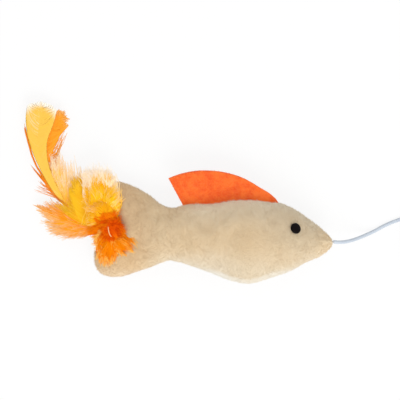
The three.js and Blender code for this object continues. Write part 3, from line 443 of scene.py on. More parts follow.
def knotPoints(v, tail, standingEnd):           # an overhand knot, about its own centre
    stretch, rise = v["stretch"] * v["diameter"], v["rise"] * v["diameter"]
    t = np.linspace(math.pi + v["opening"], 3 * math.pi - v["opening"], v["loopPoints"])
    loop = np.column_stack([stretch * (np.sin(t) + 2 * np.sin(2 * t)),
                            stretch * (np.cos(t) - 2 * np.cos(2 * t)), -rise * np.sin(3 * t)])
    loose = [loop[0] - (tail * share, stretch * share / 3, 0) for share in (1, 0.5)]
    standing = [(x * stretch, -y * 3 * stretch, z * rise) for x, y, z in v["standingShares"]]
    return np.vstack([loose, loop, standing, standingEnd])


def coilPoints(v):
    turns, perLayer = v["coilLayers"] * v["turnsPerLayer"], v["turnsPerLayer"]
    turn = np.linspace(0, turns, turns * v["pointsPerTurn"] + 1)
    layer = np.minimum(v["coilLayers"] - 1, np.floor(turn / perLayer))
    within = turn - layer * perLayer
    radius = v["coilRadius"] - v["coilPitch"] * np.where(layer % 2 == 1, perLayer - within, within)
    climb = sum(smooth(k * perLayer - v["climbTurns"], k * perLayer + v["climbTurns"], turn)
                for k in range(1, v["coilLayers"]))
    angle = fullTurn * turn
    winding = np.column_stack([radius * np.sin(angle), radius * np.cos(angle), v["coilPitch"] * climb])
    return winding + v["coilCentre"]


def braidHeight(around, distance, v):           # 0 in the grooves and 1 on the strands of the braid
    first = v["braidStrands"] * around + distance / v["braidPitch"]
    second = v["braidStrands"] * around - distance / v["braidPitch"]
    isFirstOver = (np.floor(first) + np.floor(second)) % 2 > 0.5
    return np.abs(np.sin(math.pi * np.where(isFirstOver, first, second))) ** v["braidRoundness"]


def braidedTube(name, path, v, material):
    path = evenly(path, v["ringSpacing"])
    sideways, upwards = frameAlong(path)
    sides, count = v["sides"], len(path)
    around = np.arange(sides) / sides
    run = runAlong(path)
    height = braidHeight(around, run[:, None], v)
    fromEnd = np.clip(np.minimum(run, run[-1] - run) / (v["diameter"] / 2), v["endShare"], 1)
    radius = v["diameter"] / 2 - v["braidRelief"] * (1 - height)
    radius *= np.sqrt(1 - (1 - fromEnd) ** 2)[:, None]
    angle = fullTurn * around[:, None]
    rings = (path[:, None] + sideways[:, None] * (np.cos(angle) * radius[..., None])
             + upwards[:, None] * (np.sin(angle) * radius[..., None]))
    faces = ringFaces(count, sides)
    faces += [tuple(range(sides))[::-1], tuple(range((count - 1) * sides, count * sides))]
    piece = meshObject(name, rings.reshape(-1, 3), faces, material)
    setAttribute(piece.data, "strandHeight", height.ravel())
    return piece, path


def paintedGrooveShade(tree, colour, v):               # painted shade: the grooves between the braid's strands are darkened towards the shade colour
    grooveShadeShare = mapRange(tree, attributeOf(tree, "strandHeight"), *v["groove"], 0.0, v["grooveShade"])
    return mixColours(tree, grooveShadeShare, colour, v["shade"])


def makeCord(v):
    material = clothMaterial("braidedElastic", v["material"], paintedGrooveShade)
    coil = coilPoints(v)
    coilStart, coilEnd = coil[0] - (v["diameter"], 0, 0), coil[-1] + (v["diameter"], 0, 0)
    lead = smoothCurve([v["exit"], *v["lead"], coilStart - (v["ease"], 0, 0)], v["leadSteps"])
    winding = smoothCurve(np.vstack([coilStart, coil, coilEnd]), v["coilSteps"])
    centre = np.array(v["endCentre"])
    start = coilEnd + (v["ease"], 0, 0)

    def intoKnot(x, z):
        return (centre[0] - x, centre[1] - start[1], z - centre[2])

    arrivals = [intoKnot(*(mix(start[k], centre[k], share) for k, share in zip((0, 2), v["arrivalShares"]))),
                intoKnot(start[0] + v["diameter"], start[2] - v["settle"]), intoKnot(start[0], start[2])]
    knot = smoothCurve(knotPoints(v, v["endTail"], arrivals), v["knotSteps"]) * (-1, -1, 1) + centre
    route = evenly(np.vstack([lead, winding, knot[::-1]]), v["routeSpacing"])
    cord, route = braidedTube("elasticCord", route, v, material)
    exitPoint, anchor, inside = (np.array(v[key]) for key in ("exit", "noseAnchor", "noseKnotCentre"))
    outwards = unit(exitPoint - anchor)
    stub = [exitPoint - outwards * v["diameter"] - inside, exitPoint - inside]
    noseRoute = smoothCurve(knotPoints(v, v["noseTail"], stub), v["knotSteps"]) + inside
    noseKnot, _ = braidedTube("noseKnot", noseRoute, v, material)
    settle(cord, "body", "cord", "cord_lead", "cord_coil", "cord_end_knot")
    settle(noseKnot, "body", "cord", "cord_anchor_knot")
    length = float(stepLengths(route).sum())
    say(f"cord laid, {length:.0f} mm from the nose to its end")


makeCord(cordValues)


# Stage: pale floor that keeps the shadow, soft light mostly from the belly side
stageValues = {
    "floorSize": 6000, "floorWhite": 0.86, "worldStrength": 0.82, "worldTone": (1.0, 0.995, 0.985, 1),
    "floorSurface": {"Base Color": (0.93, 0.93, 0.93, 1), "Roughness": 0.9, "Specular IOR Level": 0.1},
    "keyPlace": (0.25, -0.85, 0.95), "keySize": 0.8, "keyPower": 8.0,      # in metres and watts
}


def seenByCamera(tree):                         # 1 for what the camera sees, also mirrored or behind glass
    ray = addNode(tree, "ShaderNodeLightPath").outputs
    seen = calculate(tree, "MAXIMUM", ray["Is Camera Ray"], ray["Is Glossy Ray"])
    return calculate(tree, "MAXIMUM", seen, ray["Is Transmission Ray"])


def makeFloor(v):
    material, tree, shader = newMaterial("paleFloor", v["floorSurface"])
    white = through(tree, "ShaderNodeEmission", {"Color": (1, 1, 1, 1), "Strength": 1.0})
    share = calculate(tree, "MULTIPLY", seenByCamera(tree), v["floorWhite"])
    blend = through(tree, "ShaderNodeMixShader", {"Fac": share, 1: shader.outputs["BSDF"], 2: white})
    setInputs(tree, tree.nodes["Material Output"], {"Surface": blend})
    half = v["floorSize"] / 2
    corners = [(-half, -half, 0), (half, -half, 0), (half, half, 0), (-half, half, 0)]
    meshObject("floor", corners, [(0, 1, 2, 3)], material, isSmooth=False)


def makeLight(v):
    world = bpy.data.worlds.new("studio")
    bpy.context.scene.world = world
    world.use_nodes = True
    tree = world.node_tree
    strength = mapRange(tree, seenByCamera(tree), 0.0, 1.0, v["worldStrength"], 1.0, "LINEAR")
    setInputs(tree, tree.nodes["Background"], {"Color": v["worldTone"], "Strength": strength})
    data = bpy.data.lights.new("key", "AREA")
    data.shape = "DISK"
    data.size = v["keySize"]
    data.energy = v["keyPower"]
    key = addObject("key", data)
    key.location = v["keyPlace"]
    key.rotation_euler = (-Vector(v["keyPlace"])).to_track_quat("-Z", "Y").to_euler()
    bpy.context.scene.view_settings.view_transform = "Standard"


makeFloor(stageValues)
makeLight(stageValues)


# Stuffed body: the two plush panels as one closed form, pressed, gathered at its seam and lumpy with filling
formValues = {
    "length": 119.5, "depth": 41.6, "thickness": 31.0, "tailDepth": 47.3, "tailThickness": 17.6,
    "waistDepth": 26.5, "waistThickness": 19.0, "noseDepth": 6.6, "noseThickness": 6.8, "noseRounding": 1.6,
    "noseHeight": 12.0, "notchDepth": 9.5, "lobeSetback": 1.8, "restFlat": 0.5, "rearEdge": -42.3,
    "axisOffset": -24.8,
    "upperTail": [(0, 0.36), (0.015, 0.44), (0.032, 0.558), (0.057, 0.62), (0.09, 0.64), (0.136, 0.617),
                  (0.187, 0.558), (0.237, 0.48), (0.2745, 0.408)],
    "upperWaist": [(0.32, 0.649), (0.3456, 0.649), (0.3874, 0.702)],
    "upperBody": [(0.492, 0.4615), (0.559, 0.488), (0.622, 0.5), (0.68, 0.494), (0.739, 0.4735),
                  (0.781, 0.459), (0.839, 0.38), (0.8896, 0.29), (0.94, 0.186)],
    "lowerTail": [(0, -0.21), (0.005, -0.262), (0.015, -0.318), (0.032, -0.35), (0.057, -0.371),
                  (0.09, -0.376), (0.136, -0.353), (0.187, -0.313), (0.237, -0.271), (0.2745, -0.226)],
    "lowerWaist": [(0.316, -0.351), (0.354, -0.3736), (0.396, -0.43)],
    "lowerBody": [(0.488, -0.37), (0.555, -0.4447), (0.605, -0.4856), (0.643, -0.5), (0.689, -0.481),
                  (0.739, -0.43), (0.789, -0.384), (0.839, -0.326), (0.8896, -0.247), (0.94, -0.184)],
    "noseTop": [(0.986, 0.44), (1, 0.44)], "noseBottom": [(0.986, -0.62), (1, -0.62)],
    "thickTail": [(0, 0.9), (0.06, 0.98), (0.12, 1), (0.2, 0.98)], "thickWaist": [(0.33, 1)],
    "thickBody": [(0.47, 0.83), (0.55, 0.95), (0.63, 1), (0.71, 0.965), (0.79, 0.83), (0.86, 0.655),
                  (0.93, 0.43)],
    "waistBend": (0.165, 0.355), "headBend": 0.785, "crossPower": 0.6, "rearClosing": 0.11,
    "noseClosing": 0.045, "notchCentre": 0.1, "notchWidth": 0.7,
}
f = formValues


def profileOf(*parts):                          # parts: shares of the length and of a depth, and that depth
    return profileThrough([(along * f["length"], up * depth) for rows, depth in parts for along, up in rows])


upperEdge = profileOf((f["upperTail"], f["tailDepth"]), (f["upperWaist"], f["waistDepth"]),
                      (f["upperBody"], f["depth"]), (f["noseTop"], f["noseDepth"]))
lowerEdge = profileOf((f["lowerTail"], f["tailDepth"]), (f["lowerWaist"], f["waistDepth"]),
                      (f["lowerBody"], f["depth"]), (f["noseBottom"], f["noseDepth"]))
halfThickness = profileOf((f["thickTail"], f["tailThickness"] / 2),
                          (f["thickWaist"], f["waistThickness"] / 2),
                          (f["thickBody"], f["thickness"] / 2), ([(1, 1)], f["noseThickness"] / 2))


def seamHeight(along):
    share = along / f["length"]
    low, high = f["tailThickness"] / 2 - f["restFlat"], f["thickness"] / 2 - f["restFlat"]
    height = mix(low, high, smooth(*f["waistBend"], share))
    return mix(height, f["noseHeight"], smooth(f["headBend"], 1, share))


def rearLimit(across):
    fromNotch = np.clip(1 - ((across - f["notchCentre"]) / f["notchWidth"]) ** 2, 0, 1)
    return f["notchDepth"] * fromNotch**2 + f["lobeSetback"] * smooth(0, 1, across)


def noseLimit(across):
    return f["length"] - f["noseRounding"] * across**2


def roundedEnd(t):
    return np.sqrt(1 - (1 - np.clip(t, 0, 1)) ** 2)


def pillowHeight(share, across, half):
    ends = roundedEnd(share / f["rearClosing"]) * roundedEnd((1 - share) / f["noseClosing"])
    return half * np.clip(1 - across**2, 0, 1) ** f["crossPower"] * ends


def flankHeight(x, y, side=1):                  # the height of the plush over a place, 0 beside it
    along, up = np.asarray(x, float) - f["rearEdge"], np.asarray(y, float) - f["axisOffset"]
    low, high = lowerEdge(along), upperEdge(along)
    across = (2 * up - low - high) / (high - low)
    share = (along - rearLimit(across)) / (noseLimit(across) - rearLimit(across))
    inside = (np.abs(across) < 1) & (share > 0) & (share < 1)
    return np.where(inside, seamHeight(along) + side * pillowHeight(share, across, halfThickness(along)), 0.0)


bodyValues = {
    "stuffing": {"voxel": 1.6, "frames": 20, "quality": 6, "mass": 0.002, "pressure": 4.0, "slack": 0.015,
                 "pinStiffness": 1.0, "heldTo": (3.0, 9.0), "mostMove": 0.7, "followed": 5, "blur": 0.3},
    "stations": 250, "crossings": 92, "crowding": 0.4, "fill": 0.75,
    "grooveDepth": 0.3, "grooveWidth": 0.8, "grooveEnd": (64, 73),
    "bellyGroove": 0.45, "bellyGrooveAt": 5.6, "bellyGrooveWidth": 1.0, "bellyEdge": (-28, -34),
    "bellyStart": (14, 26), "bellyEnd": (56, 44),
    "puckerDepth": 0.13, "puckerLength": 4.3, "puckerReach": 4.2, "puckerSway": 2.2, "puckerNoise": (9.0, 2),
    "lumps": [(0.42, 15.0, 5), (0.16, 6.0, 8)],             # each with its depth, size and seed
    "foldDepth": 0.34, "foldLength": 2.3, "foldSlant": 0.6, "foldSway": 1.8, "foldNoise": (7.0, 11),
    "foldReach": 9.0, "waistAt": -5.0, "waistWidth": 7.0, "dentDepth": 1.2, "dentAt": (-5.2, -12.2),
    "dentSize": (3.6, 2.8), "gatherDepth": 0.16, "gathers": 9, "gatherStart": (69.0, 76.5),
    "gatherEnd": (76.4, 77.2), "noseTip": (75.8, 77.0), "eyeDimple": 0.55, "eyeDimpleWidth": 3.8,
    "eyeSwell": 0.14, "eyeSwellAt": 5.4, "eyeSwellWidth": 1.7,
    "coverFrom": (0.25, 1.6), "coverEnd": (76.2, 77.0), "noseThinning": 0.9, "eyeBare": 0.5,
    "material": {"tone": tone(222, 199, 163), "shade": tone(213, 188, 149), "light": tone(231, 214, 186),
                 "patchScale": 55.0, "fibreScale": 1900.0, "patches": 0.5, "fibres": 0.3, "bump": 0.35,
                 "bumpDepth": 0.2, "roughness": 0.95, "sheen": 0.25, "shine": 0.2,
                 "seamClimb": (-22.6, 0.1, 8.3, 15),    # the seam's height from one X to the other
                 # painted light and shade: each row multiplies the tone by its factors within its bands,
                 # darkening parts of the tail and head and lightening parts of the flanks, the belly, the
                 # nose and, as painted highlights, the seam rims
                 "paintedLightBands": [((1.05, 1.13, 1.28), ("Y", -22, -6), ("X", -6, 12), ("X", 62, 38)),
                            ((1.0, 1.08, 1.22), ("Y", -26, -41), ("X", -24, -2)),
                            ((1.03, 1.06, 1.12), ("Y", -25, -34), ("X", -8, 4), ("X", 34, 18)),
                            ((0.99, 0.95, 0.9), ("X", -6, -26)),
                            ((0.985, 0.96, 0.93), ("X", -12, -24)),
                            ((0.96, 0.95, 0.95), ("X", -10, -22), ("Y", -24, -12)),
                            ((0.9, 0.93, 0.98), ("X", 34, 60), ("Y", -36, -24)),
                            ((1.12, 1.1, 1.06), ("X", 66, 76)),
                            ((1.08, 1.15, 1.26), ("seam", 9, 1), ("Y", -24, -12), ("X", 2, 12)),
                            ((1.03, 1.1, 1.2), ("seam", 3, 0.5), ("Y", -24, -12), ("X", 12, 2)),
                            ((1.04, 1.08, 1.15), ("seam", 8, 1), ("Y", -26, -34), ("X", -18, -2)),
                            ((1.06, 1.12, 1.24), ("seam", 6.6, 4.6), ("Y", -37, -41))]},
}
eyeValues = {"fromNose": 19.3, "aboveAxis": 6.5, "diameter": 5.5, "dome": 1.7, "rim": 0.5, "rimDrop": 0.12,
             "rimInset": (0.25, 0.05), "postDiameter": 1.8, "postLength": 4.4, "neck": 0.1, "clearance": 0.3,
             "segments": 40, "domeRings": 12, "domePower": 0.9,
             "bead": {"grainScale": 900.0, "grainDetail": 3.0, "dark": tone(8, 4, 6),
                      "light": tone(16, 9, 11), "roughness": (0.42, 0.58), "shine": 0.06},
             "washer": {"grainScale": 700.0, "grainDetail": 2.0, "dark": tone(228, 228, 222),
                        "light": tone(238, 238, 234), "roughness": (0.45, 0.45), "shine": 0.5}}


def eyePlace(side):                             # the middle of an eye on the plush, and its way outwards
    v = eyeValues
    x, y = f["rearEdge"] + f["length"] - v["fromNose"], f["axisOffset"] + v["aboveAxis"]
    step = v["diameter"] / 4                    # the slope is taken over half of the eye's width
    centre, ahead, behind, above, below = (
        np.array([x + a * step, y + b * step, float(flankHeight(x + a * step, y + b * step, side))])
        for a, b in ((0, 0), (1, 0), (-1, 0), (0, 1), (0, -1)))
    return centre, unit(np.cross(ahead - behind, above - below) * side)


noiseShift = (3.7, 1.3, 7.1)                    # how far a seed moves the noise


def noiseAt(points, size, seed):
    shift = Vector([seed * step for step in noiseShift])
    return np.array([noise.noise(Vector(p) / size + shift) for p in points])


def paintedBodyLight(tree, colour, v):                # painted light and shade: the plush's tone multiplied in soft bands along X, across Y or near the seam
    axes = addNode(tree, "ShaderNodeSeparateXYZ", {0: objectPlace(tree)}).outputs
    seamUp = mapRange(tree, axes["X"], *(reach * mm for reach in v["seamClimb"]))
    offSeam = calculate(tree, "ABSOLUTE", calculate(tree, "SUBTRACT", axes["Z"], seamUp))
    places = {"X": axes["X"], "Y": axes["Y"], "seam": offSeam}
    for factors, *spans in v["paintedLightBands"]:
        mask = 1.0
        for axis, start, end in spans:
            mask = calculate(tree, "MULTIPLY", mapRange(tree, places[axis], start * mm, end * mm), mask)
        paintedTone = mixColours(tree, 1.0, colour, (*factors, 1), "MULTIPLY")
        colour = mixColours(tree, mask, colour, paintedTone)
    return colour


def bodyMesh(v):                                # points, faces, seam's height and way to it, near flank first
    even = np.arange(v["stations"] + 1) / v["stations"]
    share = mix(even, (1 - np.cos(math.pi * even)) / 2, v["crowding"])
    across = np.sin(math.pi * (np.arange(v["crossings"] + 1) / v["crossings"] - 0.5))
    share, across = np.meshgrid(share, across, indexing="ij")
    along = mix(rearLimit(across), noseLimit(across), share)
    low, high = lowerEdge(along), upperEdge(along)
    seam, pillow = seamHeight(along), pillowHeight(share, across, halfThickness(along))
    isInner = np.zeros(share.shape, bool)
    isInner[1:-1, 1:-1] = True
    nearIndex = np.arange(share.size).reshape(share.shape)
    farIndex = nearIndex.copy()
    farIndex[isInner] = share.size + np.arange(isInner.sum())

    def both(near, far):                        # the near flank with the rim, then the far one within it
        return np.concatenate([near.ravel(), far[isInner]])

    x, y = along + f["rearEdge"], mix(low, high, (across + 1) / 2) + f["axisOffset"]
    points = np.column_stack([both(x, x), both(y, y), both(seam + pillow, seam - pillow)])
    toEdge = np.minimum((1 - np.abs(across)) * (high - low) / 2, np.minimum(share, 1 - share) * f["length"])
    faces = gridFaces(nearIndex, False) + gridFaces(farIndex, True)
    return points, faces, both(seam, seam), both(toEdge, toEdge)


def treeOf(places):
    tree = KDTree(len(places))
    for k, place in enumerate(places):
        tree.insert(place, k)
    tree.balance()
    return tree


def stuffed(points, faces, held, v):            # a coarse copy is blown up as cloth, the fine mesh follows
    shell = meshObject("stuffingShell", points, faces)
    voxels = shell.modifiers.new("voxels", "REMESH")
    voxels.mode = "VOXEL"
    voxels.voxel_size = v["voxel"] * mm
    coarse = evaluatedMesh(shell)
    shell.modifiers.clear()
    shell.data = coarse
    before = readLayer(coarse.vertices, "co")
    fine = treeOf(points * mm)
    group = shell.vertex_groups.new(name="held")
    for k, place in enumerate(before):
        group.add([k], float(held[fine.find(place)[1]]), "REPLACE")
    cloth = shell.modifiers.new("stuffing", "CLOTH")
    settings = {"quality": v["quality"], "mass": v["mass"], "vertex_group_mass": "held",
                "pin_stiffness": v["pinStiffness"], "shrink_min": -v["slack"], "use_pressure": True,
                "uniform_pressure_force": v["pressure"]}
    for key, value in settings.items():
        setattr(cloth.settings, key, value)
    cloth.settings.effector_weights.gravity = 0
    cloth.point_cache.frame_start = 1
    cloth.point_cache.frame_end = v["frames"]
    for number in range(1, v["frames"] + 1):
        bpy.context.scene.frame_set(number)
    done = evaluatedMesh(shell)
    move = (readLayer(done.vertices, "co") - before) / mm
    bpy.context.scene.frame_set(1)
    bpy.data.objects.remove(shell)
    for mesh in (coarse, done):
        bpy.data.meshes.remove(mesh)
    reach = np.linalg.norm(move, axis=1)
    most, mean = reach.max(), reach.mean()
    say(f"stuffing moved {len(move)} points by {mean:.2f} mm on average, {most:.2f} mm at most")
    move *= (np.minimum(reach, v["mostMove"]) / np.maximum(reach, 1e-6))[:, None]
    coarseTree = treeOf(before)
    result = points.copy()
    for k, place in enumerate(points):
        near = coarseTree.find_n(place * mm, v["followed"])
        weights = np.array([1 / (distance / mm + v["blur"]) for _, _, distance in near])
        result[k] += (move[[index for _, index, _ in near]] * weights[:, None]).sum(axis=0) / weights.sum()
    return result


def bodyRelief(points, toSeam, isNear, v):      # how far the plush stands out, or lies in below 0
    x, y, z = points.T
    push = -v["grooveDepth"] * bell(toSeam / v["grooveWidth"]) * (1 - smooth(*v["grooveEnd"], x))
    onBelly = smooth(*v["bellyEdge"], y) * smooth(*v["bellyStart"], x) * smooth(*v["bellyEnd"], x) * isNear
    push -= v["bellyGroove"] * bell((toSeam - v["bellyGrooveAt"]) / v["bellyGrooveWidth"]) * onBelly
    puckers = np.sin(fullTurn * x / v["puckerLength"] + v["puckerSway"] * noiseAt(points, *v["puckerNoise"]))
    puckers = puckers * np.exp(-toSeam / v["puckerReach"])
    push += v["puckerDepth"] * puckers * (1 - bell(toSeam / v["grooveWidth"]))
    for depth, size, seed in v["lumps"]:
        push += depth * noiseAt(points, size, seed)
    phase = (x + v["foldSlant"] * y) / v["foldLength"] + v["foldSway"] * noiseAt(points, *v["foldNoise"])
    folds = np.maximum(0, np.sin(phase)) ** 3 * bell((x - v["waistAt"]) / v["waistWidth"])
    push -= v["foldDepth"] * folds * np.exp(-toSeam / v["foldReach"])
    (dentX, dentY), (dentLength, dentWidth) = v["dentAt"], v["dentSize"]
    push -= v["dentDepth"] * bell((x - dentX) / dentLength) * bell((y - dentY) / dentWidth)
    angle = np.arctan2(z - f["noseHeight"], y - f["axisOffset"])
    nose = smooth(*v["gatherStart"], x) * (1 - smooth(*v["gatherEnd"], x))
    push += v["gatherDepth"] * np.sin(v["gathers"] * angle) * nose
    for side in (1, -1):
        distance = np.linalg.norm(points - eyePlace(side)[0], axis=1)
        push -= v["eyeDimple"] * bell(distance / v["eyeDimpleWidth"])
        push += v["eyeSwell"] * bell((distance - v["eyeSwellAt"]) / v["eyeSwellWidth"])
    return push * (1 - smooth(*v["noseTip"], x))


def makeBody(v):
    material = clothMaterial("shortPlush", v["material"], paintedBodyLight)
    points, faces, seams, toEdge = bodyMesh(v)
    held = 1 - smooth(*v["stuffing"]["heldTo"], np.hypot(toEdge, points[:, 2] - seams))
    points = stuffed(points, faces, held, v["stuffing"])
    body = meshObject("plushBody", points, faces, material)
    normals = readLayer(body.data.vertex_normals, "vector")
    push = bodyRelief(points, np.hypot(toEdge, points[:, 2] - seams), points[:, 2] > seams, v)
    moved = points + normals * push[:, None]
    moved[:, 2] = np.maximum(moved[:, 2], 0.0)
    body.data.vertices.foreach_set("co", (moved * mm).ravel())
    body.data.update()
    cover = smooth(*v["coverFrom"], moved[:, 2])
    cover *= 1 - v["noseThinning"] * smooth(*v["coverEnd"], moved[:, 0])
    eyeRadius = eyeValues["diameter"] / 2
    for side in (1, -1):
        fromEye = np.linalg.norm(moved - eyePlace(side)[0], axis=1)
        cover *= smooth(eyeRadius - v["eyeBare"], eyeRadius, fromEye)
    setAttribute(body.data, "pileCover", cover)
    settle(body, "body", "plush", "near_plush_panel", "far_plush_panel", "fibre_filling")
    say("body stuffed and sewn")
    return body, material


plushBody, plushMaterial = makeBody(bodyValues)


# Short pile on both flanks, leaning towards the tail
pileValues = {"density": 5.2e6, "length": 0.95, "radius": 0.075, "lean": (-0.75, -0.15, 0.0), "disorder": 0.5,
              "flanks": [("nearPile", 11), ("farPile", 12)]}       # each with its seed


def makePile(v):
    mesh = plushBody.data
    places = readLayer(mesh.vertices, "co") / mm
    cover = readLayer(mesh.attributes["pileCover"].data, "value", 1)
    flanks = readLayer(mesh.polygons, "vertices", 4, int).reshape(2, -1, 4)      # the near one comes first
    for (name, seed), quads in zip(v["flanks"], flanks):
        used, faces = np.unique(quads, return_inverse=True)
        ground = meshObject(name + "Ground", places[used], faces.reshape(-1, 4).tolist(), isSmooth=False)
        setAttribute(ground.data, "pileCover", cover[used, 0])
        pile = growPile(ground, v, seed, plushMaterial, name)
        bpy.data.objects.remove(ground)
        settle(pile, "body", "plush")
        say(f"{name} has {len(pile.data.polygons)} faces")


makePile(pileValues)


# Bead eyes on their posts, and the washers that hold them inside
def makeEyes(v):
    material = grainyMaterial("blackBead", v["bead"])
    post, rim, count = v["postDiameter"] / 2, v["diameter"] / 2, v["segments"]
    under, edge = (rim - inset for inset in v["rimInset"])
    outline = [(post, -v["postLength"]), (post, -v["neck"]), (under, 0.0), (edge, v["rimDrop"])]
    outline += [(rim * math.cos(a) ** v["domePower"], mix(v["rim"], v["dome"], math.sin(a)))
                for a in np.linspace(0, math.pi / 2, v["domeRings"])[:-1]]
    angle = fullTurn * np.arange(count) / count
    rings = [np.column_stack([radius * np.cos(angle), radius * np.sin(angle), np.full(count, height)])
             for radius, height in outline]
    points = np.vstack(rings + [(0, 0, v["dome"])]) + (0, 0, v["clearance"])
    top = len(points) - 1
    faces = ringFaces(len(outline), count)
    faces += [(top - count + k, top - count + (k + 1) % count, top) for k in range(count)]
    faces.append(tuple(range(count))[::-1])
    for side, name, node in ((1, "nearEyeBead", "near_eye_bead"), (-1, "farEyeBead", "far_eye_bead")):
        centre, outward = eyePlace(side)
        turn = np.array(Vector((0, 0, 1)).rotation_difference(Vector(outward)).to_matrix())
        bead = meshObject(name, points @ turn.T + centre, faces, material)
        settle(bead, "body", "eye_plastic", node)
    washerMaterial = grainyMaterial("washerPlastic", v["washer"])
    for node in ("near_eye_washer", "far_eye_washer"):
        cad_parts[node].data.materials.clear()
        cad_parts[node].data.materials.append(washerMaterial)
    say("eyes set")


makeEyes(eyeValues)


# Felt back fin, sewn into the back seam, lying flat with a faint wave away from it
finValues = {
    "rearOffset": 44.55, "base": 48.1, "height": 17, "thickness": 1.2, "seat": 2.4,
    "top": [(-0.152, 0.805), (-0.04, 0.915), (0.1, 0.994), (0.2, 1.01), (0.398, 0.962), (0.617, 0.773),
            (0.816, 0.441), (0.905, 0.279), (0.966, 0.118), (1, -0.035)],
    "columns": 150, "rows": 44, "columnStep": 0.35, "rearSteps": 12, "topSteps": 30, "edgeShare": 0.35,
    "edgeWidth": 0.7, "waveDepth": 0.22, "waveNoise": (13.0, 31), "waveFull": 9, "foldAt": -3.1,
    "foldMiddle": (22, 15), "foldReach": (-1.0, 1.6), "coverReach": (-2.0, -0.5),
    "material": {"tone": tone(255, 116, 40), "shade": tone(244, 88, 26), "light": tone(255, 146, 74),
                 "patchScale": 230.0, "fibreScale": 1300.0, "patches": 1.0, "fibres": 0.35, "bump": 0.6,
                 "bumpDepth": 0.2, "roughness": 0.95, "sheen": 0.3, "shine": 0.2},
    "fuzz": {"density": 9e6, "length": 0.5, "radius": 0.035, "lean": (0.0, 0.0, 0.0), "disorder": 1.2},
    "fuzzSeed": 21,
}


def finSheet(v):                                # rows of points from the seat in the seam out to the edge
    along = np.array([v["rearOffset"], v["rearOffset"] + v["base"]])
    rear, front = upperEdge(along)
    rises = [(mix(*along, a), mix(rear, front, a) + u * v["height"], 0) for a, u in v["top"]]
    top = smoothCurve(rises, v["topSteps"])
    corner = np.array([along[0], rear, 0])
    rearSide = smoothCurve([corner, mix(corner, top[0], 0.5), top[0]], v["rearSteps"])
    outer = evenly(np.vstack([rearSide[:-1], top]), count=v["columns"])
    seatAlong = np.linspace(*along, v["columns"])
    seat = np.column_stack([seatAlong, upperEdge(seatAlong) - v["seat"], np.zeros(v["columns"])])
    share = np.linspace(0, 1, v["rows"])[:, None, None]
    return seat * (1 - share) + outer * share + (f["rearEdge"], f["axisOffset"], 0)


def makeFin(v):
    sheet = finSheet(v)
    rows, columns = sheet.shape[:2]
    flat = sheet.reshape(-1, 3)
    standing = smooth(v["foldAt"], v["foldAt"] + v["waveFull"], flat[:, 1])
    middle = f["thickness"] / 2 - f["restFlat"] + v["waveDepth"] * noiseAt(flat, *v["waveNoise"]) * standing
    fromTop = np.repeat(1 - np.linspace(0, 1, rows), columns) * v["height"]
    fromSide = np.tile(np.minimum(np.arange(columns), np.arange(columns)[::-1]), rows) * v["columnStep"]
    edge = np.sqrt(np.clip(np.minimum(fromTop, fromSide) / v["edgeWidth"], 0, 1))
    half = v["thickness"] / 2 * mix(v["edgeShare"], 1, edge)
    faces = [np.column_stack([flat[:, :2], middle + side * half]) for side in (1, -1)]
    upperLower = np.vstack(faces)
    index = np.arange(rows * columns).reshape(rows, columns)
    quads = gridFaces(index, True) + gridFaces(index + index.size, False)
    rim = np.concatenate([index[0, :], index[1:, -1], index[-1, -2::-1], index[-2:0:-1, 0]])
    following = np.roll(rim, -1)
    quads += np.stack([rim, rim + index.size, following + index.size, following], -1).tolist()
    material = clothMaterial("orangeFelt", v["material"])
    fin = meshObject("feltFin", upperLower, quads, material)
    coverFrom, coverTo = (v["foldAt"] + reach for reach in v["coverReach"])
    setAttribute(fin.data, "pileCover", smooth(coverFrom, coverTo, upperLower[:, 1]))
    fuzz = growPile(fin, v["fuzz"], v["fuzzSeed"], material, "finFuzz")
    width = (sheet[-1, :, 0].max() - sheet[-1, :, 0].min()) * mm
    depth = (sheet[-1, :, 1].max() - sheet[0, :, 1].min()) * mm
    for piece in (fin, fuzz):
        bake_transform(piece)
    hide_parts("back_fin", "fin_seam_strip")
    say(f"fin sewn in, {width / mm:.0f} by {depth / mm:.0f} mm of felt")


makeFin(finValues)


# Strands: guide lines with a width, a place along each strand and a hue, which the strand tree fills out
strandTaper = 1.5


class Strands:
    def __init__(self):
        self.points, self.edges, self.radii, self.along, self.hue = [], [], [], [], []
        self.count = 0

    def add(self, line, rootRadius, tipRadius, hue, fromShare=0.0, toShare=1.0):
        steps = np.linspace(0, 1, len(line))
        index = np.arange(len(line)) + self.count
        self.points.append(line)
        self.edges.append(np.column_stack([index[:-1], index[1:]]))
        self.radii.append(mix(rootRadius, tipRadius, steps**strandTaper) * mm)
        self.along.append(mix(fromShare, toShare, steps))
        self.hue.append(np.full(len(line), hue))
        self.count += len(line)

    def finish(self, name, body, slotName, material, sides, flatness, *replaced):
        mesh = bpy.data.meshes.new(name + "Guides")
        mesh.from_pydata((np.vstack(self.points) * mm).tolist(), np.vstack(self.edges).tolist(), [])
        for layer, values in (("strandRadius", self.radii), ("along", self.along), ("hue", self.hue)):
            setAttribute(mesh, layer, np.concatenate(values))
        guides = addObject(name + "Guides", mesh)
        piece = grow(guides, strandTree, {"Sides": sides, "Flatness": flatness, "Material": material}, name)
        bpy.data.objects.remove(guides)
        settle(piece, body, slotName, *replaced)
        say(f"{name} has {len(self.points)} strands, {len(piece.data.polygons)} faces")


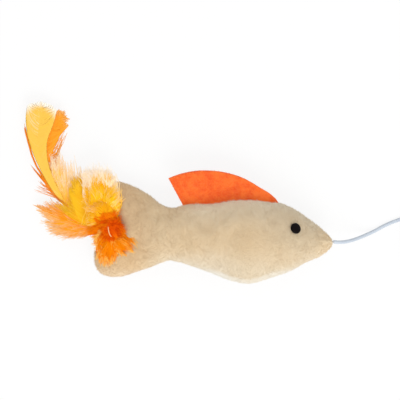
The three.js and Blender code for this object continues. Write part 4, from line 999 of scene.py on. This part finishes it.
# Long feathers, on their own levels as in the solids
plumeValues = {"root": (-36.4496, -17.0, 8.3), "spacing": 1.1, "length": 78.0, "drop": 3.4, "quill": 0.8,
               "quillTip": 0.21, "quillPoints": 40, "steps": 16, "samples": 400, "sides": 4, "flatness": 0.14,
               "wispFlatness": 0.18}
barbValues = {"points": 9, "edge": 0.02, "tips": (-0.05, 0.03), "lengths": (0.92, 1.08), "least": 0.02,
              "run": 1.35, "spread": 1.7, "gaps": (0.7, 1.0), "fanPower": 0.6, "ragPower": 0.5,
              "droop": 0.12, "droopPower": 1.5, "jitter": 0.02, "arch": 0.05, "hueSpread": 0.15,
              "groupHue": 0.12, "groupStep": 2.4, "before": 0.05, "after": 0.03}
wispValues = {"points": 10, "rootSpread": 0.04, "bowShare": 0.5, "bowLeast": 0.01, "jitter": 0.1,
              "fanPower": 1.5, "hueSpread": 0.2}


class Plume:                                    # places on a long feather, along it and aside
    def __init__(self, row):
        v = plumeValues
        route = smoothCurve([(-a * row["reach"], b * row["rise"], 0) for a, b in row["path"]], v["steps"])
        self.path = evenly(route, count=v["samples"])[:, :2]
        self.tangents = unit(np.gradient(self.path, axis=0))
        self.length = float(stepLengths(self.path).sum())
        self.slope = v["drop"] / v["length"]
        self.top = row["level"] * v["spacing"]

    def at(self, t, aside=0.0, lift=0.0):        # aside and lift in millimetres
        t = np.asarray(t, float)
        index = np.arange(len(self.path))
        place = np.clip(t, 0, 1) * index[-1]
        point, tangent = (np.stack([np.interp(place, index, table[:, k]) for k in (0, 1)], -1)
                          for table in (self.path, self.tangents))
        point = point + tangent * (np.clip(t - 1, 0, 1) * self.length)[..., None]
        side = np.stack([-tangent[..., 1], tangent[..., 0]], -1)
        flat = point + side * np.asarray(aside)[..., None]
        height = self.top - self.slope * np.hypot(flat[..., 0], flat[..., 1]) + lift
        return np.concatenate([flat, height[..., None]], -1) + plumeValues["root"]


def addVane(strands, plume, rng, v):            # flat barbs to both sides of the quill, lying over each other
    b = barbValues
    width = profileThrough(v["width"])
    q = np.linspace(0, 1, b["points"])
    for side in (1, -1):
        cuts = np.sort(rng.uniform(v["from"], v["to"], v["splits"]))
        edges = np.concatenate([[v["from"] - b["edge"]], cuts, [v["to"] + b["edge"]]])
        for k in range(v["count"] + v["tipCount"]):
            isTip = k >= v["count"]
            if isTip:
                t0 = v["to"] + rng.uniform(*b["tips"])
            else:
                t0 = mix(v["from"], v["to"], (k + rng.uniform(0, 1)) / v["count"])
            group = int(np.clip(np.searchsorted(edges, t0) - 1, 0, len(edges) - 2))
            centre = (edges[group] + edges[group + 1]) / 2
            share = 1.0 if t0 < v["fanFrom"] else rng.random() ** (1.0 if isTip else b["fanPower"])
            end = min(t0 + v["sweep"] * rng.uniform(*b["lengths"]),
                      1 - v["tipRound"] * share**2 - v["tipRag"] * rng.random())
            reach = v["rag"] + (1 - v["rag"]) * rng.random() ** b["ragPower"]
            t = (t0 + max(end - t0, b["least"]) * q ** b["run"]
                 + (centre - t0) * v["gap"] * rng.uniform(*b["gaps"]) * q**2)
            aside = side * width(np.clip(end, 0, 1)) * v["halfWidth"] * share * reach
            aside = aside * (v.get("leftShare", 1.0) if side > 0 else 1.0) * (1 - (1 - q) ** b["spread"])
            lift = b["arch"] * np.sin(math.pi * q) - b["droop"] * q ** b["droopPower"]
            lift += rng.uniform(-b["jitter"], b["jitter"])
            shade = (plainHue + b["hueSpread"] * rng.standard_normal() + v.get("sideHue", 0.0) * side
                     + b["groupHue"] * math.sin(group * b["groupStep"]))
            start, stop = np.clip(t0 - b["before"], 0, 1), min(1.0, end + b["after"])
            strands.add(plume.at(t, aside, lift), v["barb"], v["barbTip"], np.clip(shade, 0, 1),
                        start * v["alongTo"], stop * v["alongTo"])


def addWisps(strands, plume, rng, v):           # loose barbs drawn together in pointed locks
    w = wispValues
    q = np.linspace(0, 1, w["points"])
    # each lock: the share of the quill it leaves from, its tip's x and y, strands, fan, bow and hue
    for t0, tipX, tipY, count, fanned, bowed, hue in v["locks"]:
        for _ in range(count):
            start = plume.at(max(0.0, t0 + rng.uniform(-w["rootSpread"], w["rootSpread"])))
            toTip = np.array([tipX, tipY]) - start[:2]
            distance = np.linalg.norm(toTip)
            square = np.array([-toTip[1], toTip[0]]) / distance
            length = rng.uniform(v["least"], 1.0)
            bow = rng.normal(bowed, w["bowShare"] * fanned + w["bowLeast"]) * distance
            fan = rng.normal(0, fanned) * distance
            flat = (start[:2] + toTip * (q * length)[:, None]
                    + square * (bow * np.sin(math.pi * q) + fan * q ** w["fanPower"])[:, None])
            lift = rng.uniform(-w["jitter"], w["jitter"]) * q
            height = start[2] + lift - plume.slope * np.linalg.norm(flat - start[:2], axis=1)
            strands.add(np.column_stack([flat, height]), v["barb"], v["barbTip"],
                        np.clip(hue + w["hueSpread"] * rng.standard_normal(), 0, 1))


yellowValues = {
    "name": "yellowPlume", "body": "yellow_feather", "slot": "yellow_feather", "node": "yellow_plume",
    "reach": 34.25, "rise": 62.5, "level": 1, "seed": 41,
    "path": [(0, 0), (0.204, 0.024), (0.394, 0.08), (0.555, 0.156), (0.686, 0.248), (0.781, 0.328),
             (0.869, 0.424), (0.942, 0.528), (0.99, 0.64), (1, 0.736), (0.978, 0.848), (0.949, 0.944),
             (0.934, 1)],
    "vane": {"width": [(0.3, 0.1), (0.36, 0.14), (0.45, 0.2), (0.53, 0.25), (0.62, 0.33), (0.71, 0.47),
                       (0.79, 0.65), (0.88, 0.93), (0.94, 1), (1, 0.95)],
             "halfWidth": 7.5, "from": 0.33, "to": 0.93, "fanFrom": 0.84, "count": 400, "tipCount": 60,
             "sweep": 0.13, "tipRound": 0.03, "tipRag": 0.035, "splits": 3, "gap": 0.0, "rag": 0.93,
             "barb": 0.52, "barbTip": 0.26, "alongTo": 1.0, "sideHue": -0.04, "leftShare": 0.97},
    "wisps": {"barb": 0.26, "barbTip": 0.06, "least": 0.6, "locks": [
        (0.42, -64.1, 19.6, 30, 0.04, -0.04, 0.4), (0.41, -62.1, 19.1, 28, 0.04, -0.04, 0.4),
        (0.38, -59.9, 21.4, 24, 0.03, -0.03, 0.75), (0.37, -60.4, 16.1, 26, 0.05, -0.04, 0.7),
        (0.36, -57.6, 18.6, 22, 0.03, -0.04, 0.5), (0.34, -56.3, 15.6, 26, 0.05, -0.04, 0.35),
        (0.35, -58.6, 13.1, 24, 0.06, -0.04, 0.2), (0.31, -54.6, 14.1, 22, 0.04, -0.05, 0.3),
        (0.29, -53.7, 16.9, 16, 0.02, -0.05, 0.5), (0.28, -52.0, 21.4, 3, 0.01, -0.06, 0.6),
        (0.27, -53.1, 13.1, 24, 0.06, -0.05, 0.3), (0.25, -50.6, 13.6, 30, 0.08, -0.05, 0.25),
        (0.23, -48.0, 13.1, 30, 0.08, -0.05, 0.3), (0.22, -46.3, 11.6, 26, 0.06, -0.05, 0.4),
        (0.22, -46.8, 8.1, 20, 0.05, -0.05, 0.85), (0.44, -63.6, 10.6, 30, 0.08, -0.03, 0.95),
        (0.4, -62.1, 11.1, 34, 0.1, -0.03, 0.95), (0.37, -60.1, 9.1, 36, 0.1, -0.03, 0.9),
        (0.34, -58.1, 8.1, 38, 0.1, -0.03, 0.75), (0.31, -56.1, 6.6, 34, 0.1, -0.03, 0.8),
        (0.36, -59.6, 4.0, 34, 0.12, -0.02, 0.95), (0.32, -57.6, 2.0, 34, 0.12, -0.02, 0.95)]},
    "dye": dye((238, 182, 44), (243, 193, 82), (255, 250, 238), (246, 194, 50), 0.55, 0.905, 0.3),
    "wispDye": dye((244, 174, 28), (251, 196, 92), (254, 230, 200), (248, 176, 72), 0.55, 0.5, 0.6, 0.14),
}
orangeValues = {
    "name": "orangePlume", "body": "orange_feather", "slot": "orange_feather", "node": "orange_plume",
    "reach": 29.75, "rise": 57.5, "level": 0, "seed": 42,
    "path": [(0, 0), (0.218, 0.03), (0.42, 0.087), (0.605, 0.174), (0.756, 0.274), (0.874, 0.378),
             (0.958, 0.487), (1, 0.591), (0.995, 0.696), (0.941, 0.8), (0.849, 0.896), (0.748, 0.965),
             (0.689, 1)],
    "vane": {"width": [(0.4, 0.04), (0.6, 0.06), (0.66, 0.18), (0.72, 0.48), (0.78, 0.7), (0.86, 0.9),
                       (0.93, 1.02), (1, 0.88)],
             "halfWidth": 5.6, "from": 0.5, "to": 0.94, "fanFrom": 0.84, "count": 260, "tipCount": 40,
             "sweep": 0.13, "tipRound": 0.05, "tipRag": 0.03, "splits": 5, "gap": 0.3, "rag": 0.86,
             "barb": 0.4, "barbTip": 0.16, "alongTo": 1.0},
    "wisps": {"barb": 0.14, "barbTip": 0.05, "least": 0.6, "locks": [
        (0.66, -56.6, 31.4, 12, 0.04, -0.05, 0.4), (0.6, -57.8, 28.9, 12, 0.04, -0.05, 0.3),
        (0.56, -59.4, 25.1, 12, 0.04, -0.05, 0.3), (0.5, -61.6, 21.1, 10, 0.05, -0.05, 0.3)]},
    "dye": dye((246, 148, 26), (250, 158, 40), (253, 186, 110), (242, 136, 26), 0.6, 0.9, 0.6),
}
amberValues = {
    "name": "amberPlume", "body": "amber_feather", "slot": "amber_feather", "node": "amber_plume",
    "reach": 41.0, "rise": 51.5, "level": -1, "seed": 43,
    "path": [(0, 0), (0.122, 0), (0.232, 0.03), (0.348, 0.117), (0.463, 0.192), (0.561, 0.264),
             (0.646, 0.328), (0.718, 0.394), (0.771, 0.467), (0.815, 0.53), (0.851, 0.574), (0.883, 0.633),
             (0.915, 0.696), (0.94, 0.769), (0.974, 0.867), (1, 0.955), (1.004, 1)],
    "vane": {"width": [(0.25, 0.4), (0.35, 0.9), (0.45, 1), (0.52, 0.9), (0.6, 0.4), (0.9, 0.36),
                       (1, 0.28)],
             "halfWidth": 1.2, "from": 0.22, "to": 0.96, "fanFrom": 0.92, "count": 130, "tipCount": 0,
             "sweep": 0.06, "tipRound": 0.02, "tipRag": 0.02, "splits": 10, "gap": 0.3, "rag": 0.6,
             "barb": 0.24, "barbTip": 0.07, "alongTo": 0.8},
    "wisps": {"barb": 0.14, "barbTip": 0.04, "least": 0.7, "locks": [
        (0.46, -75.0, 14.0, 10, 0.008, 0.0, 0.6), (0.46, -74.2, 12.8, 9, 0.01, 0.0, 0.6),
        (0.46, -71.6, 6.2, 7, 0.02, 0.03, 0.4), (0.42, -72.9, 4.0, 5, 0.02, 0.02, 0.3),
        (0.4, -73.5, 1.7, 5, 0.03, 0.02, 0.3), (0.42, -66.9, 2.5, 16, 0.05, 0.0, 0.5),
        (0.38, -64.6, 0.3, 20, 0.05, 0.0, 0.5), (0.36, -63.6, -1.5, 22, 0.05, 0.0, 0.5),
        (0.34, -62.6, -2.5, 24, 0.06, 0.0, 0.5), (0.32, -61.1, -3.7, 22, 0.05, 0.0, 0.5)]},
    "dye": dye((250, 160, 40), (244, 140, 32), (250, 192, 140), (232, 120, 22), 0.5, 0.85, 0.6),
}
goldValues = {
    "name": "goldPlume", "body": "gold_feather", "slot": "gold_feather", "node": "gold_plume",
    "reach": 15.25, "rise": 24.0, "level": 2, "seed": 44,
    "path": [(0, 0), (0.295, -0.04), (0.59, 0.04), (0.754, 0.29), (0.852, 0.54), (0.934, 0.79), (1, 1)],
    "vane": {"width": [(0.3, 0.12), (0.45, 0.55), (0.6, 0.95), (0.75, 1), (0.87, 0.85), (1, 0.5)],
             "halfWidth": 4.8, "from": 0.3, "to": 0.84, "fanFrom": 0.74, "count": 190, "tipCount": 20,
             "sweep": 0.26, "tipRound": 0.12, "tipRag": 0.08, "splits": 5, "gap": 0.3, "rag": 0.78,
             "barb": 0.34, "barbTip": 0.1, "alongTo": 0.85},
    "wisps": {"barb": 0.3, "barbTip": 0.07, "least": 0.6, "locks": [
        (0.72, -54.3, 6.8, 20, 0.04, 0.0, 0.4), (0.7, -52.8, 8.8, 24, 0.04, 0.0, 0.4),
        (0.68, -50.1, 8.8, 24, 0.05, 0.0, 0.4), (0.6, -54.6, 3.0, 20, 0.04, 0.0, 0.5),
        (0.62, -47.8, 7.1, 22, 0.04, 0.0, 0.6), (0.52, -46.0, 3.5, 28, 0.06, 0.03, 0.6),
        (0.44, -44.3, -0.5, 30, 0.08, 0.03, 0.6), (0.26, -62.6, -5.8, 26, 0.04, 0.02, 0.8),
        (0.24, -61.1, -4.5, 28, 0.05, 0.02, 0.8), (0.22, -59.6, -7.0, 30, 0.05, 0.02, 0.7),
        (0.26, -58.1, -3.0, 28, 0.06, 0.02, 0.8), (0.2, -56.6, -9.0, 16, 0.05, 0.0, 1.0),
        (0.3, -56.1, -0.5, 26, 0.06, 0.0, 0.6)]},
    "dye": dye((243, 181, 30), (241, 184, 34), (252, 204, 84), (243, 162, 26), 0.4, 0.85, 0.6),
}
sprayValues = {
    "name": "orangeSpray", "body": "spray_feather", "slot": "orange_feather", "node": "orange_spray",
    "reach": 32.0, "rise": 6.0, "level": -2, "seed": 45,
    "path": [(0, 0), (0.172, -0.25), (0.328, 0), (0.563, 0.42), (0.797, 0.75), (1, 1)],
    "wisps": {"barb": 0.28, "barbTip": 0.07, "least": 0.7, "locks": [
        (0.5, -74.2, -5.8, 16, 0.01, 0.02, 0.85), (0.46, -71.7, -6.0, 26, 0.02, 0.02, 0.8),
        (0.4, -68.1, -7.3, 34, 0.03, 0.03, 0.95), (0.34, -64.6, -6.5, 40, 0.05, 0.02, 0.95),
        (0.42, -68.6, -5.0, 32, 0.03, 0.03, 0.8), (0.36, -65.6, -4.0, 36, 0.04, 0.03, 0.8),
        (0.3, -63.1, -4.8, 44, 0.06, 0.02, 0.7), (0.5, -72.7, -8.5, 24, 0.02, 0.02, 0.4),
        (0.46, -70.9, -10.3, 28, 0.03, 0.02, 0.4), (0.4, -69.1, -12.0, 34, 0.04, 0.0, 0.4),
        (0.36, -70.7, -14.6, 26, 0.03, 0.0, 0.35), (0.3, -68.1, -16.8, 40, 0.05, 0.0, 0.4),
        (0.24, -67.1, -19.3, 40, 0.04, -0.02, 0.4), (0.2, -65.4, -20.8, 40, 0.04, -0.03, 0.4),
        (0.16, -62.1, -21.3, 44, 0.06, -0.03, 0.5), (0.12, -59.6, -24.6, 8, 0.03, -0.03, 0.3),
        (0.12, -58.1, -22.3, 44, 0.05, -0.03, 0.5), (0.08, -53.6, -22.6, 40, 0.06, -0.02, 0.5),
        (0.06, -49.6, -22.3, 36, 0.06, 0.0, 0.6), (0.3, -67.6, -8.0, 44, 0.06, 0.02, 0.5),
        (0.2, -61.6, -8.0, 48, 0.08, 0.02, 0.6), (0.16, -58.6, -10.5, 50, 0.1, 0.0, 0.7),
        (0.12, -54.6, -11.5, 50, 0.12, 0.0, 0.8), (0.2, -63.1, -13.0, 50, 0.1, 0.0, 0.5),
        (0.14, -59.6, -16.1, 50, 0.12, 0.0, 0.5), (0.2, -64.1, -17.6, 50, 0.08, -0.01, 0.45),
        (0.1, -55.6, -18.6, 50, 0.12, 0.0, 0.6), (0.05, -50.6, -18.1, 44, 0.16, 0.0, 0.6)]},
    "dye": dye((243, 150, 8), (253, 158, 26), (251, 200, 140), (244, 144, 20), 0.4, 0.66, 0.6, 0.12),
}


def makePlume(row):
    v = plumeValues
    rng = np.random.default_rng(row["seed"])
    plume = Plume(row)
    strands, loose = Strands(), Strands()
    quill = plume.at(np.linspace(0, 1, v["quillPoints"]))
    strands.add(quill, v["quill"] / 2, v["quillTip"] / 2, plainHue)
    if "vane" in row:
        addVane(strands, plume, rng, row["vane"])
    addWisps(loose if "wispDye" in row else strands, plume, rng, row["wisps"])
    name, body, slotName = row["name"], row["body"], row["slot"]
    dyed = featherMaterial(name + "Dye", row["dye"])
    strands.finish(name, body, slotName, dyed, v["sides"], v["flatness"], row["node"])
    if "wispDye" in row:
        dyed = featherMaterial(name + "WispDye", row["wispDye"])
        loose.finish(name + "Wisps", body, slotName, dyed, v["sides"], v["wispFlatness"])


for plumeRow in (yellowValues, orangeValues, amberValues, goldValues, sprayValues):
    makePlume(plumeRow)


# Down: soft locks of barbs that rise from the tie and lie over round puffs, clear of the plush below them
downValues = {"clearance": 0.35, "lowest": 0.4, "quill": 0.4, "quillTip": 0.14, "spinePoints": 30,
              "points": 6, "bow": 0.12, "hueSpread": 0.13, "rootSpread": 0.1, "shortening": 0.4,
              "sway": 0.04, "riseTo": 0.45, "overhang": 0.8, "jitter": 0.07, "barbHue": 0.1,
              "spineSteps": 10, "quillAlong": 0.4, "turnedBack": 0.5, "rootPower": 0.8, "layerPower": 2.4,
              "alongFrom": 0.1, "alongTo": (0.3, 0.65, 1.1)}
# each puff: centre, size, locks, strands of a lock, reach of the locks, hue and, unless all round, its arc
peachValues = {
    "name": "peachDown", "node": "peach_down", "slot": "peach_down", "seed": 51, "scatter": 0.9,
    "barb": 0.3, "barbTip": 0.05,
    "puffs": [((-38.9, 5.4, 13.2), (8.4, 6.6, 3.2), 60, 18, (0.5, 1.0), 0.5, 0.2, 2.9),
              ((-35.0, 4.4, 14.4), (5.4, 4.6, 2.6), 30, 15, (0.5, 1.0), 0.5, 0.6, 3.0),
              ((-46.0, 7.6, 11.6), (4.4, 4.0, 2.0), 20, 15, (0.4, 1.0), 0.5),
              ((-39.4, 6.6, 13.2), (8.0, 7.0, 3.0), 34, 4, (1.0, 1.25), 0.5, 1.1, 2.9)],
    "spine": [(-34.0, -15.6, 10.8), (-34.5, -11.5, 13.6), (-35.0, -6.0, 15.6), (-36.5, 0.5, 15.6)],
    "dye": dye((247, 184, 50), (254, 232, 194), (254, 243, 230), (252, 204, 124), 0.6, 0.62, 0.6, 0.2),
}
goldDownValues = {
    "name": "goldDown", "node": "gold_down", "slot": "gold_feather", "seed": 52, "scatter": 0.95,
    "barb": 0.32, "barbTip": 0.06,
    "puffs": [((-37.6, 0.2, 14.6), (6.8, 6.8, 2.6), 75, 19, (0.4, 1.05), 0.5),
              ((-32.6, -3.0, 16.6), (4.4, 5.4, 2.2), 34, 12, (0.5, 1.15), 0.35),
              ((-44.8, -2.0, 12.4), (4.0, 8.0, 1.8), 44, 15, (0.3, 1.0), 0.55),
              ((-36.8, -8.6, 16.0), (7.4, 4.6, 2.2), 56, 14, (0.1, 1.12), 0.95),
              ((-43.8, -14.4, 13.4), (2.8, 2.6, 1.4), 18, 11, (0.3, 1.0), 0.6),
              ((-43.2, -10.4, 13.0), (3.4, 5.4, 1.6), 30, 13, (0.3, 1.0), 0.65),
              ((-38.6, 3.4, 16.2), (7.4, 7.6, 1.0), 26, 9, (0.2, 1.1), 0.52),
              ((-33.0, -1.0, 17.2), (5.0, 5.4, 1.0), 14, 8, (0.4, 1.1), 0.3)],
    "spine": [(-35.1, -15.6, 10.8), (-35.8, -12.8, 14.8), (-36.4, -9.5, 16.6), (-36.8, -5.5, 17.0)],
    "dye": dye((240, 150, 12), (249, 192, 26), (253, 218, 148), (234, 145, 8), 0.55, 0.6, 0.6, 0.2),
}
orangeDownValues = {
    "name": "orangeDown", "node": "orange_down", "slot": "orange_feather", "seed": 53, "scatter": 0.6,
    "barb": 0.32, "barbTip": 0.06,
    "puffs": [((-35.2, -27.2, 15.0), (5.8, 9.0, 3.2), 66, 19, (0.4, 1.12), 0.5),
              ((-27.2, -27.0, 17.4), (5.8, 4.6, 1.8), 28, 15, (0.4, 1.2), 0.5),
              ((-39.4, -25.0, 13.6), (4.2, 6.6, 2.6), 44, 16, (0.4, 1.15), 0.0),
              ((-36.6, -32.4, 15.2), (4.6, 5.0, 2.0), 28, 11, (0.5, 1.1), 0.12)],
    "spine": [(-34.5, -18.8, 10.8), (-34.8, -20.6, 14.6), (-34.2, -22.8, 17.0), (-33.4, -25.5, 17.6)],
    "dye": dye((222, 90, 2), (238, 129, 0), (253, 202, 98), (228, 106, 2), 0.45, 0.8, 0.8, 0.2),
}
rustValues = {
    "name": "rustDown", "node": "rust_down", "slot": "rust_down", "seed": 54, "scatter": 0.95,
    "barb": 0.28, "barbTip": 0.05,
    "puffs": [((-32.8, -18.0, 16.8), (6.2, 6.2, 3.4), 88, 18, (0.3, 1.0), 0.5),
              ((-36.4, -16.8, 14.8), (4.2, 5.0, 2.8), 36, 14, (0.3, 1.0), 0.35),
              ((-35.2, -11.2, 16.4), (6.6, 3.2, 2.0), 34, 13, (0.2, 1.1), 0.16),
              ((-42.4, -19.4, 13.0), (4.6, 3.6, 1.8), 34, 12, (0.3, 1.05), -0.1),
              ((-41.0, -13.4, 12.8), (3.8, 4.0, 1.8), 22, 12, (0.3, 1.0), 0.0),
              ((-38.6, -20.4, 13.2), (3.0, 3.2, 1.6), 20, 12, (0.3, 1.0), 0.1),
              ((-34.8, -23.4, 16.4), (5.0, 3.2, 2.0), 34, 14, (0.3, 1.1), 0.6),
              # painted shade: a puff of the darkest hue at the core's right edge, where the plush rises over
              # the roots
              ((-29.9, -18.2, 18.9), (3.4, 3.8, 1.4), 30, 13, (0.2, 1.0), 0.9)],
    "spine": [(-34.0, -17.0, 11.3), (-32.8, -16.6, 15.5), (-31.8, -16.2, 17.6), (-31.0, -15.8, 18.4)],
    "dye": dye((222, 78, 0), (224, 84, 0), (242, 140, 6), (186, 46, 0), 0.45, 0.6, 0.7, 0.2),
}


def keepClear(line):                            # lifts a strand off the plush wherever it would enter it
    x, y, z = line.T
    above, below = flankHeight(x, y) + downValues["clearance"], flankHeight(x, y, -1)
    lifted = np.where((z < above) & (z > below), above, z)
    return np.column_stack([x, y, np.maximum(lifted, downValues["lowest"])])


def addPuff(strands, spine, rng, row, puff):
    v = downValues
    centre, size, locks, count, reach, hue, *arc = puff
    middle, spread = np.array(centre[:2]), np.array(size[:2])
    q = np.linspace(0, 1, v["points"])
    rise = smooth(0, v["riseTo"], q)
    for _ in range(locks):
        angle = rng.uniform(*(arc or (0, fullTurn)))
        heading = np.array([math.cos(angle), math.sin(angle)])
        if np.dot(heading, middle - spine[0, :2]) < 0 and rng.random() < v["turnedBack"]:
            heading *= -1
        far = rng.uniform(*reach)
        tip = middle + spread * heading * far
        near = rng.random() ** v["rootPower"]
        bow = v["bow"] * rng.standard_normal()
        shade = hue + v["hueSpread"] * rng.standard_normal()
        layer = rng.random() ** v["layerPower"]
        for _ in range(count):
            place = np.clip(near + v["rootSpread"] * rng.standard_normal(), 0, 1)
            root = spine[int(place * (len(spine) - 1))]
            toTip = tip + row["scatter"] * rng.standard_normal(2) - root[:2]
            toTip *= 1 - v["shortening"] * rng.random() ** 2
            across = np.array([-toTip[1], toTip[0]]) * (bow + v["sway"] * rng.standard_normal())
            flat = root[:2] + toTip * q[:, None] + across * np.sin(math.pi * q)[:, None]
            off = np.linalg.norm((flat - middle) / spread, axis=1)
            dome = np.sqrt(np.clip(1 - off**2, 0, 1)) * (1 - 2 * layer)
            dome = centre[2] + size[2] * (dome - v["overhang"] * np.clip(off - 1, 0, 1))
            height = mix(root[2], dome, rise) + v["jitter"] * rng.standard_normal() * rise
            low, more, most = v["alongTo"]
            strands.add(keepClear(np.column_stack([flat, height])), row["barb"], row["barbTip"],
                        np.clip(shade + v["barbHue"] * rng.standard_normal(), 0, 1), v["alongFrom"],
                        low + more * min(far, most))


def makeDown(row):
    v = downValues
    rng = np.random.default_rng(row["seed"])
    strands = Strands()
    spine = evenly(smoothCurve(row["spine"], v["spineSteps"]), count=v["spinePoints"])
    strands.add(spine, v["quill"], v["quillTip"], plainHue, 0.0, v["quillAlong"])
    for puff in row["puffs"]:
        addPuff(strands, spine, rng, row, puff)
    dyed = featherMaterial(row["name"] + "Dye", row["dye"])
    strands.finish(row["name"], "body", row["slot"], dyed, plumeValues["sides"], plumeValues["wispFlatness"],
                   row["node"])


for downRow in (peachValues, goldDownValues, orangeDownValues, rustValues):
    makeDown(downRow)


# Thread tie: thread wound round the quills, with its loose end
tieValues = {
    "rear": (-35.7496, -17.0, 8.3), "radius": 2.05, "thread": 0.25, "turns": 13, "turnPoints": 20,
    "length": 7.4, "lead": 0.3, "coreLength": 8.0, "corePoints": 12, "coreInset": 0.1,
    "endRadii": (0.24, 0.17), "endPoints": 36, "endSteps": 8, "sides": 10,
    # hue, and places along the dye at the start and at the end
    "threadLook": (0.5, 0.5, 0.5), "coreLook": (0.8, 0.2, 0.2), "endLook": (0.5, 0.3, 0.5),
    "endPath": [(-34.6, -18.9, 10.2), (-34.9, -17.6, 15.8), (-35.0, -17.5, 20.0), (-34.9, -18.4, 20.9),
                (-34.5, -20.3, 21.0), (-34.0, -21.5, 20.8), (-33.4, -22.2, 20.3)],
    "dye": dye((222, 176, 120), (240, 204, 148), (250, 236, 206), (200, 176, 136), 0.5, 0.7, 0.3),
}


def makeTie(v):
    rear = np.array(v["rear"])
    turn = np.linspace(0, v["turns"], v["turns"] * v["turnPoints"] + 1)
    angle = fullTurn * turn
    winding = rear + np.column_stack([v["lead"] + v["length"] * turn / v["turns"],
                                      v["radius"] * np.cos(angle), v["radius"] * np.sin(angle)])
    core = rear + np.outer(np.linspace(0, v["coreLength"], v["corePoints"]), (1, 0, 0))
    end = evenly(smoothCurve(v["endPath"], v["endSteps"]), count=v["endPoints"])
    inner = v["radius"] - v["coreInset"]
    strands = Strands()
    strands.add(winding, v["thread"], v["thread"], *v["threadLook"])
    strands.add(core, inner, inner, *v["coreLook"])
    strands.add(end, *v["endRadii"], *v["endLook"])
    thread = featherMaterial("creamThread", v["dye"])
    strands.finish("threadTie", "body", "thread", thread, v["sides"], 1.0, "feather_tie")


makeTie(tieValues)

bpy.context.view_layer.update()
say("sizes written")
